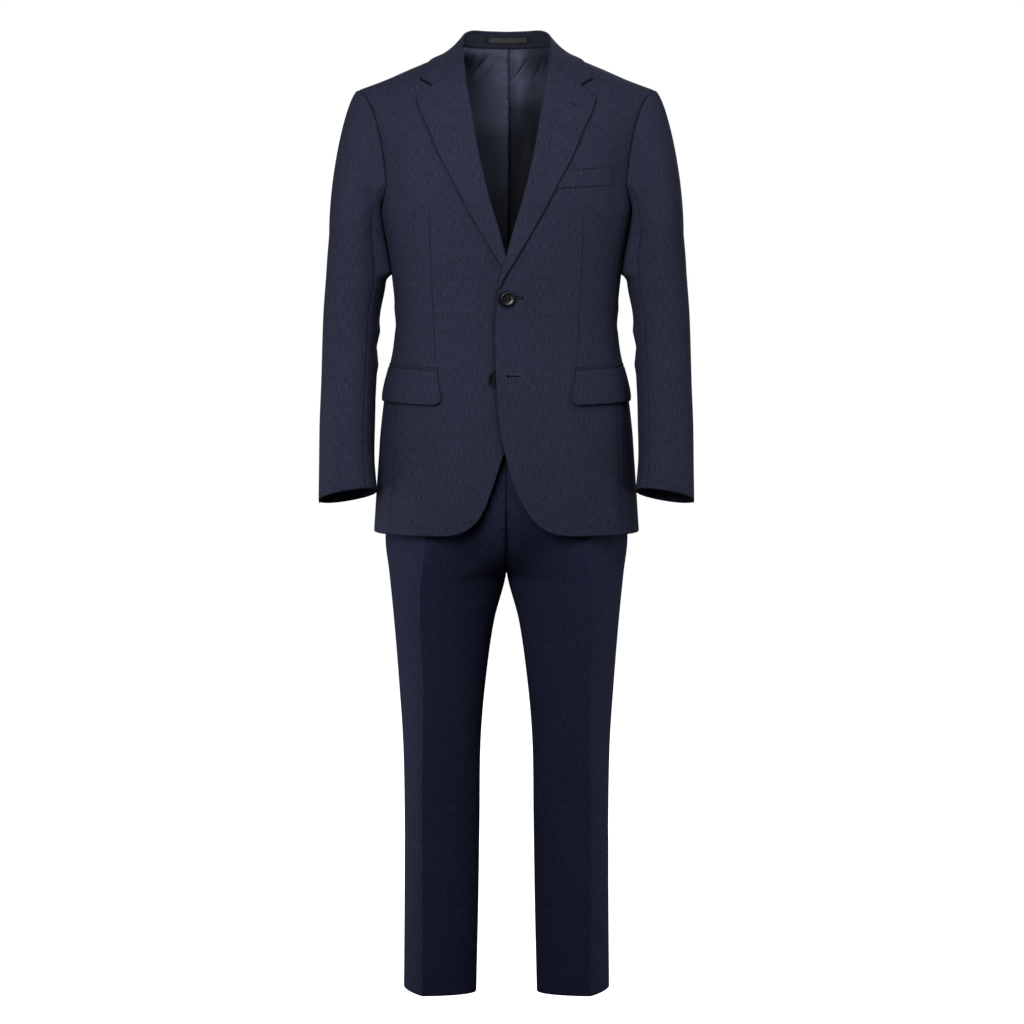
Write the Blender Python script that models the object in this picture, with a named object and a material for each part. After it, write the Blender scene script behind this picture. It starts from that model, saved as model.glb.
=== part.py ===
"""Two-piece suit on a general figure, filled out with no wearer: a single-breasted, two-button
notch-lapel jacket over flat-front trousers.

Metres, +Z up. The front faces -Y and the wearer's left is +X. The origin is the middle of the
neck at the height of the shoulder points by the neck, where the wearer's shoulders hold it up.

Each garment is one smooth form. A panel is an area of that form between its seams, given a wall.
"""

import bisect
import math

import bpy
from mathutils import Vector

# ---------------------------------------------------------------- driving sizes, in metres
CLOTH = 0.0016          # wall of every main panel
THIN_CLOTH = 0.0012     # wall of lining, jets and the label
SEAM = 0.0003           # space between two pieces at a seam
REST_GAP = 0.0008       # space under a piece that lies on a panel
SIDE = {"left": 1.0, "right": -1.0}     # the wearer's left is +X

HEM_HEIGHT = -0.7235
CHEST_HEIGHT = -0.235
RING_POWER = 2.5        # squareness of the jacket's rings
SHOULDER_HALF = 0.2425  # half width of the form at the shoulder tip, before the armhole is cut
ARM_TURN = math.radians(24.0)       # where the armhole is cut, turned from the side
HEM_SEAM_TURN = math.radians(33.0)  # the side-body seams at the hem
ARM_NOTCH_RISE = 0.10   # where the side-body seams meet the armhole
UNDERARM_RISE = -0.03   # the armhole's lowest place

LEVELS_HEAD = ("height", "half_width", "front", "back")
JACKET_LEVELS = (
    (-0.7235, 0.2040, -0.138, 0.132),
    (-0.6650, 0.1996, -0.137, 0.131),
    (-0.6157, 0.1957, -0.135, 0.129),
    (-0.5664, 0.1922, -0.133, 0.126),
    (-0.4926, 0.1838, -0.129, 0.118),
    (-0.4435, 0.1738, -0.126, 0.110),
    (-0.3945, 0.1702, -0.124, 0.104),
    (-0.3395, 0.1746, -0.126, 0.106),
    (-0.3000, 0.1805, -0.130, 0.112),
    (-0.2350, 0.1935, -0.134, 0.120),
)
RIDGE_HEAD = ("x", "height")
SHOULDER_RIDGE = (
    (0.000, 0.0280), (0.040, 0.0200), (0.074, 0.0080), (0.090, 0.0032), (0.108, -0.0036),
    (0.149, -0.0205), (0.184, -0.0357), (0.226, -0.0510), (0.245, -0.0570),
)
NECK_POINT_X = 0.074    # where the shoulder seam meets the neck
BACK_NECK_HEIGHT = -0.002
ARCH_FRONT = (2.2, 1.7)     # upright and level powers of the arch from chest to shoulder
ARCH_BACK = (2.6, 1.9)

EDGE_HEAD = ("height", "x")
FRONT_EDGE = (          # the cutaway's bend, the front edge, the roll line, the neck
    (-0.6760, 0.0246), (-0.6400, 0.0086), (-0.5980, -0.0026), (-0.5680, -0.0093),
    (-0.5280, -0.0134), (-0.4786, -0.0162), (-0.4116, -0.0176), (-0.3610, -0.0131),
    (-0.3120, 0.0003), (-0.2705, 0.0110), (-0.2201, 0.0263), (-0.1913, 0.0340),
    (-0.1441, 0.0445), (-0.1047, 0.0514), (-0.0709, 0.0573), (-0.0419, 0.0622),
    (-0.0162, 0.0652), (0.0080, 0.0740),
)
CUTAWAY_HEAD = ("x", "height")
CUTAWAY = (
    (0.0246, -0.6760), (0.0447, -0.7030), (0.0689, -0.7185), (0.0950, -0.7230),
    (0.1400, -0.7235), (0.1800, -0.7235),
)
LAP_HEAD = ("height", "lift")
LAP = (                 # how far the left front stands off the right one
    (-0.7235, 0.0040), (-0.5980, 0.0052), (-0.4200, 0.0052), (-0.3650, 0.0074),
    (-0.3050, 0.0074), (-0.2500, 0.0),
)
LAP_NEAR = 0.020        # full lift up to here from the middle
LAP_FAR = 0.085         # none from here

LAPEL_HEAD = ("height", "x")
LAPEL_EDGE = (
    (-0.3500, -0.0085), (-0.3366, -0.0030), (-0.3046, 0.0163), (-0.2651, 0.0403),
    (-0.2305, 0.0597), (-0.1980, 0.0766), (-0.1512, 0.1011), (-0.1173, 0.1148),
    (-0.0884, 0.1283), (-0.0655, 0.1351),
)
LAPEL_FOOT = {"left": -0.3500, "right": -0.3400}
GORGE_INNER = (0.0652, -0.0162)     # x and height where the gorge seam meets the roll line
NOTCH = (0.1125, -0.0476)
COLLAR_TIP = (0.1305, -0.0370)
NOTCH_SHARE = 0.68                  # how far across the lapel's top the notch is
ROLL_RADIUS = (0.0023, 0.0032)      # of the lapel's roll, at its foot and at the gorge
ROLL_TURN = 116.0                   # degrees of the roll inwards from its top
LAPEL_SETTLE = 0.030                # from the roll to where the lapel lies on the chest

COLLAR_HEAD = ("share", "fold_x", "fold_y", "fold_z", "edge_x", "edge_y", "edge_z")
COLLAR = (              # from the centre back to the gorge
    (0.00, 0.0000, 0.0625, 0.0368, 0.0000, 0.0715, -0.0110),
    (0.17, 0.0300, 0.0580, 0.0372, 0.0390, 0.0640, -0.0110),
    (0.33, 0.0520, 0.0440, 0.0364, 0.0690, 0.0490, -0.0085),
    (0.50, 0.0640, 0.0230, 0.0328, 0.0970, 0.0220, -0.0055),
    (0.67, 0.0680, 0.0000, 0.0225, 0.1120, -0.0040, -0.0055),
    (0.83, 0.0682, -0.0290, 0.0060, 0.1220, -0.0270, -0.0170),
    (1.00, 0.0660, -0.0580, -0.0120, 0.1305, -0.0500, -0.0360),
)
COLLAR_ROLL = 0.0024
COLLAR_HOLLOW = 0.002   # how far the fall hangs in between its fold and its edge
COLLAR_SLOPE_STEP = 0.04
COLLAR_GAP = 0.0018     # space under the fall
GORGE_GAP = 0.0008      # between the collar and the lapel
NECK_SHARE = 0.64       # where the collar passes the neck point of the shoulder seam
COLLAR_FRONT_SHARE = 0.72   # from here the collar is drawn to the gorge seam
STAND_REACH = 0.88      # the stand runs out into the lapel's roll here
STAND_SHORT = 0.0011    # how much lower the stand ends under the fold in front

ARM_HEAD = ("height", "x", "y", "half_width", "half_depth", "pitch", "tilt")
ARM_LEVELS = (          # from the biceps to the cuff; pitch and tilt in degrees
    (-0.2700, 0.2305, 0.0020, 0.0405, 0.0750, 0.0, 0.0),
    (-0.3390, 0.2305, 0.0010, 0.0460, 0.0700, 2.0, 0.0),
    (-0.3945, 0.2370, -0.0050, 0.0434, 0.0640, 5.0, 1.0),
    (-0.4926, 0.2434, -0.0260, 0.0422, 0.0570, 10.0, 3.0),
    (-0.5540, 0.2456, -0.0420, 0.0420, 0.0535, 12.0, 6.0),
    (-0.6157, 0.2460, -0.0580, 0.0418, 0.0505, 13.0, 10.0),
    (-0.6680, 0.2440, -0.0710, 0.0440, 0.0485, 13.0, 12.0),
)
ARM_POWER = 2.2
HEAD_START = 0.018      # how far the sleeve head runs out from the armhole before it turns down
HEAD_FALL = 0.42        # how strongly it comes straight down at the biceps

WAIST_HEIGHT = -0.500
BAND_HEIGHT = 0.036
CROTCH_HEIGHT = -0.790
TROUSER_HEM = -1.4385
PELVIS_HEAD = ("height", "half_width", "front", "back")
PELVIS_LEVELS = (
    (-0.5000, 0.1500, -0.1120, 0.1020),
    (-0.6000, 0.1690, -0.1180, 0.1130),
    (-0.6900, 0.1830, -0.1200, 0.1180),
    (-0.7400, 0.1862, -0.1190, 0.1170),
    (-0.7900, 0.1810, -0.1120, 0.1130),
)
LEG_HEAD = ("height", "out_x", "out_y", "front_x", "front_y", "in_x", "in_y", "back_x",
            "back_y")
LEG_LEVELS = (
    (-0.6600, 0.1790, 0.000, 0.120, -0.116, 0.0020, 0.006, 0.085, 0.117),
    (-0.7331, 0.1866, 0.000, 0.120, -0.116, 0.0020, 0.006, 0.085, 0.117),
    (-0.7900, 0.1805, -0.004, 0.129, -0.108, 0.0025, 0.004, 0.082, 0.112),
    (-0.8635, 0.1732, -0.008, 0.1300, -0.099, 0.0186, 0.000, 0.078, 0.100),
    (-0.9568, 0.1657, -0.012, 0.1262, -0.089, 0.0318, 0.000, 0.077, 0.088),
    (-1.0507, 0.1598, -0.014, 0.1275, -0.082, 0.0396, 0.000, 0.076, 0.079),
    (-1.1762, 0.1571, -0.016, 0.1284, -0.074, 0.0429, 0.002, 0.075, 0.070),
    (-1.3022, 0.1572, -0.016, 0.1285, -0.071, 0.0469, 0.004, 0.077, 0.066),
    (-1.4385, 0.1580, -0.016, 0.1283, -0.068, 0.0512, 0.004, 0.080, 0.062),
)
LEG_POWERS = (1.5, 2.2)     # sharpness at the creases, roundness at the seams
FORK_START = -0.660         # from here the round of the hips parts into two legs
FRONT_CREASE_TURN = 50.0    # degrees round the hips from the side
BACK_CREASE_TURN = 60.0

FLAP = {"inner_x": 0.1027, "outer_turn": 8.0, "top": -0.4745, "bottom": -0.5270,
        "outer_rise": 0.0040, "corner": 0.011}
JET_HEIGHT = 0.0045
WELT = {"outer_x": 0.1590, "inner_bottom": -0.2035, "outer_bottom": -0.1975, "height": 0.0275}

BUTTON_RADIUS = 0.0104
BUTTON_HOLE = 0.0011
BUTTON_HOLE_REACH = 0.0026
TOP_BUTTON = {"x": 0.0022, "height": -0.3663, "thick": 0.0034}
LOWER_BUTTON = {"x": -0.0150, "height": -0.4861, "thick": 0.0025}

LABEL = {"half_width": 0.0292, "bottom": 0.44, "top": 0.80}
LINING_GAP = 0.003      # the lining hangs this far inside the back
LINING_FIRST_ROW = 8    # the row of the back that the lining starts at

# ---------------------------------------------------------------- mesh counts
SEAM_ROWS = 13          # from the hem to the armhole notch
ARM_ROWS = 7            # from the notch to the shoulder tip
FRONT_COLUMNS = 11
UNDERARM_COLUMNS = 4
NECK_COLUMNS = 4
SHOULDER_COLUMNS = 6
COLLAR_COLUMNS = (0.08, 0.16, 0.24, 0.32, 0.40, 0.48, 0.56, 0.64, 0.70, 0.76, 0.82, 0.88, 0.94, 1.0)
HEAD_ROWS = 5           # of the sleeve, from the armhole to the biceps
SLEEVE_ROWS = 9         # from the biceps to the cuff
LEG_COLUMNS = 5         # between a seam and a crease
SLOPE_STEP = 0.002      # the step with which a surface's slope is taken
SLEEVE_SLOPE_STEP = 0.012   # the same round a sleeve, so both sides of its seams agree


# ---------------------------------------------------------------- numbers and tables
def signed_power(value, power):
    """A power that keeps its sign, so a curve runs on past its middle line."""
    return math.copysign(abs(value) ** power, value)


def ease(share):
    """A smooth change from 0 to 1."""
    share = min(max(share, 0.0), 1.0)
    return share * share * (3.0 - 2.0 * share)


def read_table(rows, key):
    """The columns of a table at a key in its first column, on a smooth curve through the rows."""
    keys = [row[0] for row in rows]
    place = min(max(bisect.bisect_right(keys, key) - 1, 0), len(rows) - 2)
    span = keys[place + 1] - keys[place]
    share = min(max((key - keys[place]) / span, 0.0), 1.0)
    near = share * share * (3.0 - 2.0 * share)
    first_pull = share * (1.0 - share) ** 2
    last_pull = share * share * (share - 1.0)
    values = []
    for column in range(1, len(rows[0])):
        slopes = []
        for index in (place, place + 1):
            low = max(index - 1, 0)
            high = min(index + 1, len(rows) - 1)
            slopes.append((rows[high][column] - rows[low][column]) / (keys[high] - keys[low]))
        start = rows[place][column]
        end = rows[place + 1][column]
        pulls = span * (first_pull * slopes[0] + last_pull * slopes[1])
        values.append(start + (end - start) * near + pulls)
    return values


def shares(count, first=0.0, last=1.0):
    """Even steps from first to last."""
    return [first + (last - first) * step / count for step in range(count + 1)]


# ---------------------------------------------------------------- the jacket's form
def ridge_height(x):
    """Height of the shoulder line at a distance from the middle."""
    return read_table(SHOULDER_RIDGE, abs(x))[0]


def form_half_width(lifted):
    """Half width of the form above the chest; lifted is 0 at the chest and 1 at the ridge."""
    chest_half = JACKET_LEVELS[-1][1]
    spread = 0.75 * lifted ** 2 + 0.25 * lifted ** 10
    return chest_half + (SHOULDER_HALF - chest_half) * spread


def jacket_point(turn, rise):
    """A point of the jacket's form.

    turn is the angle round it: 0 at the side, a quarter turn at the centre front and minus that
    at the centre back. rise is -1 at the hem, 0 at the chest and 1 on the shoulder ridge.
    """
    across = signed_power(math.cos(turn), 2.0 / RING_POWER)
    outward = signed_power(math.sin(turn), 2.0 / RING_POWER)
    if rise <= 0.0:
        height = CHEST_HEIGHT + rise * (CHEST_HEIGHT - HEM_HEIGHT)
        half_width, front, back = read_table(JACKET_LEVELS, height)
        depth = -front if outward > 0.0 else back
        return Vector((half_width * across, -depth * outward, height))
    upright, level = ARCH_FRONT if outward > 0.0 else ARCH_BACK
    quarter = rise * math.pi / 2.0
    lifted = math.sin(quarter) ** (2.0 / upright)
    remaining = signed_power(math.cos(quarter), 2.0 / level)
    x = form_half_width(lifted) * across
    height = CHEST_HEIGHT + (ridge_height(x) - CHEST_HEIGHT) * lifted
    front, back = JACKET_LEVELS[-1][2:]
    depth = -front if outward > 0.0 else back
    return Vector((x, -depth * outward * remaining, height))


def jacket_place(x, height, rear=False):
    """The turn and rise of the form's point that is seen at x and a height from the front."""
    if height <= CHEST_HEIGHT:
        rise = (height - CHEST_HEIGHT) / (CHEST_HEIGHT - HEM_HEIGHT)
        half_width = read_table(JACKET_LEVELS, height)[0]
    else:
        upright = (ARCH_BACK if rear else ARCH_FRONT)[0]
        lifted = min((height - CHEST_HEIGHT) / (ridge_height(x) - CHEST_HEIGHT), 1.0)
        rise = math.asin(lifted ** (upright / 2.0)) * 2.0 / math.pi
        half_width = form_half_width(lifted)
    turn = math.acos(signed_power(min(x / half_width, 1.0), RING_POWER / 2.0))
    return (-turn if rear else turn), rise


def jacket_normal(turn, rise):
    """The outward direction of the jacket's form."""
    step = SLOPE_STEP
    along = jacket_point(turn, rise + step) - jacket_point(turn, rise - step)
    around = jacket_point(turn + step, rise) - jacket_point(turn - step, rise)
    return along.cross(around).normalized()


def lay_on_jacket(turn, rise, lift):
    """A point of the form moved out by lift."""
    return jacket_point(turn, rise) + jacket_normal(turn, rise) * lift


def seam_turn(rise):
    """The turn of the side-body seams, which run on into the armhole."""
    return ARM_TURN + (HEM_SEAM_TURN - ARM_TURN) * ease(-rise)


def seam_rise(share):
    """Rise along the side seam and the armhole, in even rows."""
    notch = SEAM_ROWS / (SEAM_ROWS + ARM_ROWS)
    if share <= notch:
        return -1.0 + (1.0 + ARM_NOTCH_RISE) * share / notch
    return ARM_NOTCH_RISE + (1.0 - ARM_NOTCH_RISE) * (share - notch) / (1.0 - notch)


def underarm_rise(turn):
    """Rise of the armhole's lower part, which the side body ends at."""
    return UNDERARM_RISE + (ARM_NOTCH_RISE - UNDERARM_RISE) * (turn / ARM_TURN) ** 2


def lap_lift(side, x, height):
    """How far a front stands off the form: the left one passes over the right one."""
    if side == "right":
        return 0.0
    fade = 1.0 - ease((x - LAP_NEAR) / (LAP_FAR - LAP_NEAR))
    return read_table(LAP, height)[0] * fade


def mirrored(point, side):
    """A point made for the wearer's left, put on its own side."""
    return Vector((point.x * SIDE[side], point.y, point.z))


# ---------------------------------------------------------------- walls
def wall(name, surface, columns, rows, thickness, material, flip=False, step=SLOPE_STEP):
    """A panel: the surface's outer points, and inner ones a wall's thickness behind them."""
    outer = []
    inner = []
    for row in rows:
        for column in columns:
            point = surface(column, row)
            across = surface(column + step, row) - surface(column - step, row)
            along = surface(column, row + step) - surface(column, row - step)
            normal = across.cross(along).normalized() * (-1.0 if flip else 1.0)
            outer.append(point)
            inner.append(point - normal * thickness)
    width = len(columns)
    count = len(outer)
    faces = []
    for row in range(len(rows) - 1):
        for column in range(width - 1):
            first = row * width + column
            corners = (first, first + 1, first + width + 1, first + width)
            rising = (outer[corners[2]] - outer[corners[0]]).length
            falling = (outer[corners[3]] - outer[corners[1]]).length
            start = 0 if rising <= falling else 1
            turned = [corners[(start + place) % 4] for place in range(4)]
            for triangle in ((turned[0], turned[1], turned[2]), (turned[0], turned[2], turned[3])):
                faces.append(triangle)
                faces.append(tuple(count + corner for corner in reversed(triangle)))
    rim = list(range(width))
    rim += [row * width + width - 1 for row in range(1, len(rows))]
    rim += [count - 1 - column for column in range(1, width)]
    rim += [row * width for row in range(len(rows) - 2, 0, -1)]
    for place, first in enumerate(rim):
        second = rim[(place + 1) % len(rim)]
        faces.append((second, first, count + first, count + second))
    if flip:
        faces = [tuple(reversed(face)) for face in faces]
    return add_piece(name, outer + inner, faces, material)


def add_piece(name, points, faces, material):
    """A mesh object in the suit's collection, shaded smooth but for its rims."""
    mesh = bpy.data.meshes.new(name)
    mesh.from_pydata([tuple(point) for point in points], [], faces)
    mesh.update()
    mesh.shade_smooth()
    mesh.set_sharp_from_angle(angle=math.radians(45.0))
    piece = bpy.data.objects.new(name, mesh)
    piece.data.materials.append(material)
    bpy.data.collections["two_piece_suit"].objects.link(piece)
    return piece


def sided(surface, side):
    """The same surface on the wearer's own side."""
    return lambda across, along: mirrored(surface(across, along), side)


def side_wall(name, surface, columns, rows, thickness, material, side, flip=False,
              step=SLOPE_STEP):
    """A wall made for the wearer's left, or its mirror image."""
    turned = flip if side == "left" else not flip
    return wall(name, sided(surface, side), columns, rows, thickness, material, turned, step)


# ---------------------------------------------------------------- jacket panels
def front_inner_place(rise):
    """Turn and rise of the front's inner edge: the front edge, the roll line and the neck."""
    if rise <= 0.0:
        corner = (FRONT_EDGE[0][0] - CHEST_HEIGHT) / (CHEST_HEIGHT - HEM_HEIGHT)
        height = CHEST_HEIGHT + rise * -corner * (CHEST_HEIGHT - HEM_HEIGHT)
        return jacket_place(read_table(FRONT_EDGE, height)[0], height)
    lifted = math.sin(min(rise, 1.0) * math.pi / 2.0) ** (2.0 / ARCH_FRONT[0])
    x = NECK_POINT_X
    for _ in range(8):
        height = CHEST_HEIGHT + (ridge_height(x) - CHEST_HEIGHT) * lifted
        x = read_table(FRONT_EDGE, height)[0]
    turn = math.acos(signed_power(x / form_half_width(lifted), RING_POWER / 2.0))
    return turn, rise


def shoulder_place(share):
    """Turn on the shoulder ridge, from the neck point to the shoulder tip."""
    start = math.acos((NECK_POINT_X / SHOULDER_HALF) ** (RING_POWER / 2.0))
    return start + (ARM_TURN - start) * share


def front_hem_place(share):
    """Turn and rise along the cutaway and the hem, from the bend to the side seam."""
    start_turn = jacket_place(CUTAWAY[0][0], CUTAWAY[0][1])[0]
    turn = start_turn + (HEM_SEAM_TURN - start_turn) * share
    half_width = JACKET_LEVELS[0][1]
    x = half_width * signed_power(math.cos(turn), 2.0 / RING_POWER)
    height = read_table(CUTAWAY, x)[0]
    return turn, (height - CHEST_HEIGHT) / (CHEST_HEIGHT - HEM_HEIGHT)


def front_place(across, along):
    """Turn and rise on the front panel, blended between its four edges."""
    rise = seam_rise(min(max(along, 0.0), 1.0)) if along <= 1.0 else along
    inner = front_inner_place(rise)
    outer = (seam_turn(rise), rise)
    hem = front_hem_place(across)
    top = (shoulder_place(across), 1.0)
    hem_start = front_hem_place(0.0)
    hem_end = front_hem_place(1.0)
    place = []
    for axis in (0, 1):
        top_line = shoulder_place(0.0) if axis == 0 else 1.0
        top_end = ARM_TURN if axis == 0 else 1.0
        sides = (1.0 - across) * inner[axis] + across * outer[axis]
        ends = (1.0 - along) * hem[axis] + along * top[axis]
        corners = (1.0 - along) * ((1.0 - across) * hem_start[axis] + across * hem_end[axis])
        corners += along * ((1.0 - across) * top_line + across * top_end)
        place.append(sides + ends - corners)
    return place


def build_fronts(material):
    """Right and left front, each from its front edge to the side-body seam."""
    columns = shares(FRONT_COLUMNS, 0.001, 0.9985)
    rows = shares(SEAM_ROWS + ARM_ROWS)
    rows[-1] = 0.9985
    for side in SIDE:
        def surface(across, along, side=side):
            turn, rise = front_place(across, along)
            point = jacket_point(turn, rise)
            return point + jacket_normal(turn, rise) * lap_lift(side, point.x, point.z)
        side_wall("jacket_front_" + side, surface, columns, rows, CLOTH, material, side)


def build_side_bodies(material):
    """The panel under each arm."""
    for side in SIDE:
        def surface(across, along):
            middle = ARM_TURN * (1.0 - 2.0 * across)
            rise = -1.0 + (underarm_rise(middle) + 1.0) * along
            return jacket_point(seam_turn(rise) * (1.0 - 2.0 * across), rise)
        columns = shares(UNDERARM_COLUMNS, 0.003, 0.997)
        side_wall("jacket_side_body_" + side, surface, columns, shares(SEAM_ROWS), CLOTH,
                  material, side)


def back_top_rise(turn):
    """Rise of the back's top edge: the neck seam, then the shoulder seam."""
    neck_turn = shoulder_place(0.0)
    if turn <= neck_turn:
        return 1.0
    middle = jacket_place(0.0, BACK_NECK_HEIGHT, True)[1]
    share = (turn - neck_turn) / (math.pi / 2.0 - neck_turn)
    return 1.0 + (middle - 1.0) * math.sin(min(share, 1.0) * math.pi / 2.0) ** 0.8


def back_columns():
    """Columns of a back panel: a few over the neck, then those of the shoulder."""
    neck = NECK_COLUMNS / (NECK_COLUMNS + SHOULDER_COLUMNS)
    return shares(NECK_COLUMNS, 0.001, neck) + shares(SHOULDER_COLUMNS, neck, 0.9985)[1:]


def back_place(across, along):
    """Turn and rise on a back panel, from the centre back to the side."""
    neck = NECK_COLUMNS / (NECK_COLUMNS + SHOULDER_COLUMNS)
    neck_turn = shoulder_place(0.0)
    if across <= neck:
        top_turn = math.pi / 2.0 + (neck_turn - math.pi / 2.0) * across / neck
    else:
        top_turn = neck_turn + (ARM_TURN - neck_turn) * (across - neck) / (1.0 - neck)
    outer_rise = seam_rise(along) if along <= 1.0 else along
    top = back_top_rise(top_turn)
    upper = max((outer_rise - ARM_NOTCH_RISE) / (1.0 - ARM_NOTCH_RISE), 0.0)
    rise = outer_rise + (top - 1.0) * upper
    outer_turn = seam_turn(outer_rise)
    low_turn = math.pi / 2.0 + (outer_turn - math.pi / 2.0) * across
    turn = low_turn + (top_turn - low_turn) * ease(max(upper, 0.0))
    return -turn, rise


def build_backs(material):
    """Right and left back, which meet at the centre back."""
    rows = shares(SEAM_ROWS + ARM_ROWS)
    rows[-1] = 0.9985
    for side in SIDE:
        def surface(across, along):
            return jacket_point(*back_place(across, along))
        side_wall("jacket_back_" + side, surface, back_columns(), rows, CLOTH, material, side,
                  flip=True)


def build_back_lining(material):
    """The lining inside the back, in two halves: only what shows through the neck."""
    count = SEAM_ROWS + ARM_ROWS
    rows = [row / count for row in range(LINING_FIRST_ROW, count)] + [0.985]
    lift = -CLOTH - LINING_GAP - THIN_CLOTH
    for side in SIDE:
        def surface(across, along):
            return lay_on_jacket(*back_place(across, along), lift)
        columns = [0.004] + back_columns()[1:-2] + [0.85]
        side_wall("back_lining_" + side, surface, columns, rows, THIN_CLOTH, material, side)


# ---------------------------------------------------------------- lapels and collar
def lapel_place(across, along, foot):
    """x and height on the lapel, blended between the roll line, its edge, foot and top."""
    def inner(share):
        height = foot + (GORGE_INNER[1] - foot) * share
        return read_table(FRONT_EDGE, height)[0], height

    def edge(share):
        height = foot + (LAPEL_EDGE[-1][0] - foot) * share
        return read_table(LAPEL_EDGE, height)[0], height

    def top(share):
        if share <= NOTCH_SHARE:
            start, end, part = GORGE_INNER, NOTCH, share / NOTCH_SHARE
        else:
            tip = (LAPEL_EDGE[-1][1], LAPEL_EDGE[-1][0])
            start, end, part = NOTCH, tip, (share - NOTCH_SHARE) / (1.0 - NOTCH_SHARE)
        return [start[axis] + (end[axis] - start[axis]) * part for axis in (0, 1)]

    place = []
    for axis in (0, 1):
        sides = (1.0 - across) * inner(along)[axis] + across * edge(along)[axis]
        bow = top(across)[axis] - ((1.0 - across) * top(0.0)[axis] + across * top(1.0)[axis])
        place.append(sides + bow * along ** 3)
    return place


def roll_over(x, height, angle, radius):
    """A point of the roll at the inner edge of a lapel; the angle is a quarter turn on its top."""
    turn, rise = jacket_place(x, height)
    point = lay_on_jacket(turn, rise, radius + radius * math.sin(angle) + SEAM)
    return point - Vector((radius * math.cos(angle), 0.0, 0.0))


def leaf_over(x, height, start_x, radius):
    """A point of a turned-back leaf, which settles on the chest away from its roll."""
    settled = REST_GAP + CLOTH
    lift = 2.0 * radius + (settled - 2.0 * radius) * ease((x - start_x) / LAPEL_SETTLE)
    turn, rise = jacket_place(x, height)
    return lay_on_jacket(turn, rise, lift + SEAM)


def build_lapels(material):
    """The turned-back lapels: a round roll along the roll line, then a leaf on the chest."""
    leaf = (0.0, 0.10, 0.24, 0.42, NOTCH_SHARE, 0.85, 1.0)
    roll = (-2.0, -1.0)
    for side in SIDE:
        foot = LAPEL_FOOT[side]

        def surface(across, along, side=side, foot=foot):
            radius = ROLL_RADIUS[0] + (ROLL_RADIUS[1] - ROLL_RADIUS[0]) * along
            x, height = lapel_place(max(across, 0.0), along, foot)
            if across < 0.0:
                angle = math.pi / 2.0 + math.radians(ROLL_TURN) * across / 2.0
                point = roll_over(x, height, angle, radius)
            else:
                point = leaf_over(x, height, lapel_place(0.0, along, foot)[0], radius)
            normal = jacket_normal(*jacket_place(x, height))
            return point + normal * lap_lift(side, x, height)
        side_wall("lapel_" + side, surface, roll + leaf, shares(14), CLOTH, material, side)


def settle_on_jacket(point, rear, least):
    """The point itself, or moved out until it clears the jacket's form by the least lift."""
    place = list(jacket_place(point.x, min(point.z, ridge_height(point.x) - REST_GAP), rear))
    for _ in range(6):
        base = jacket_point(*place)
        around = (jacket_point(place[0] + SLOPE_STEP, place[1]) - base) / SLOPE_STEP
        along = (jacket_point(place[0], place[1] + SLOPE_STEP) - base) / SLOPE_STEP
        away = point - base
        mixed = around.dot(along)
        scale = around.dot(around) * along.dot(along) - mixed * mixed
        place[0] += (away.dot(around) * along.dot(along) - away.dot(along) * mixed) / scale
        place[1] += (away.dot(along) * around.dot(around) - away.dot(around) * mixed) / scale
        place[1] = min(place[1], 1.0)
    normal = jacket_normal(*place)
    missing = least - (point - jacket_point(*place)).dot(normal)
    return point + normal * max(missing, 0.0)


def neck_seam_point(share):
    """The seam round the neck: share is 0 at the centre back and 1 at the gorge."""
    if share <= NECK_SHARE:
        neck_turn = shoulder_place(0.0)
        turn = math.pi / 2.0 + (neck_turn - math.pi / 2.0) * share / NECK_SHARE
        return jacket_point(-turn, back_top_rise(turn))
    gorge_rise = jacket_place(*GORGE_INNER)[1]
    part = (share - NECK_SHARE) / (1.0 - NECK_SHARE)
    return jacket_point(*front_inner_place(1.0 + (gorge_rise - 1.0) * part))


def gorge_point(down):
    """The collar's front end: the roll, the gorge seam and the notch, as the lapel has them."""
    radius = ROLL_RADIUS[1]
    if down < 0.0:
        angle = math.pi / 2.0 + math.radians(ROLL_TURN) * down / 3.0
        return roll_over(GORGE_INNER[0], GORGE_INNER[1] + GORGE_GAP, angle, radius)
    if down <= NOTCH_SHARE:
        start, end, part = GORGE_INNER, NOTCH, down / NOTCH_SHARE
    else:
        start, end, part = NOTCH, COLLAR_TIP, (down - NOTCH_SHARE) / (1.0 - NOTCH_SHARE)
    x = start[0] + (end[0] - start[0]) * part
    height = start[1] + (end[1] - start[1]) * part + GORGE_GAP
    return leaf_over(x, height, GORGE_INNER[0], radius)


def collar_loft(share, down):
    """The collar between its tables' fold and edge, before it is drawn to the gorge."""
    row = read_table(COLLAR, share)
    fold = Vector(row[0:3])
    edge = Vector(row[3:6])
    ahead = read_table(COLLAR, min(share + COLLAR_SLOPE_STEP, 1.0))
    behind = read_table(COLLAR, max(share - COLLAR_SLOPE_STEP, 0.0))
    outward = Vector((behind[1] - ahead[1], ahead[0] - behind[0], 0.0)).normalized()
    up = Vector((0.0, 0.0, 1.0))
    angle = math.radians(50.0) * (1.0 - min(down, 0.0))
    turned = (outward * math.cos(angle) + up * math.sin(angle)) * COLLAR_ROLL
    point = fold - up * COLLAR_ROLL + turned
    if down <= 0.0:
        return point
    middle = (point + edge) / 2.0 - up * COLLAR_HOLLOW
    weights = ((1.0 - down) ** 2, 2.0 * down * (1.0 - down), down ** 2)
    return point * weights[0] + middle * weights[1] + edge * weights[2]


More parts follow.
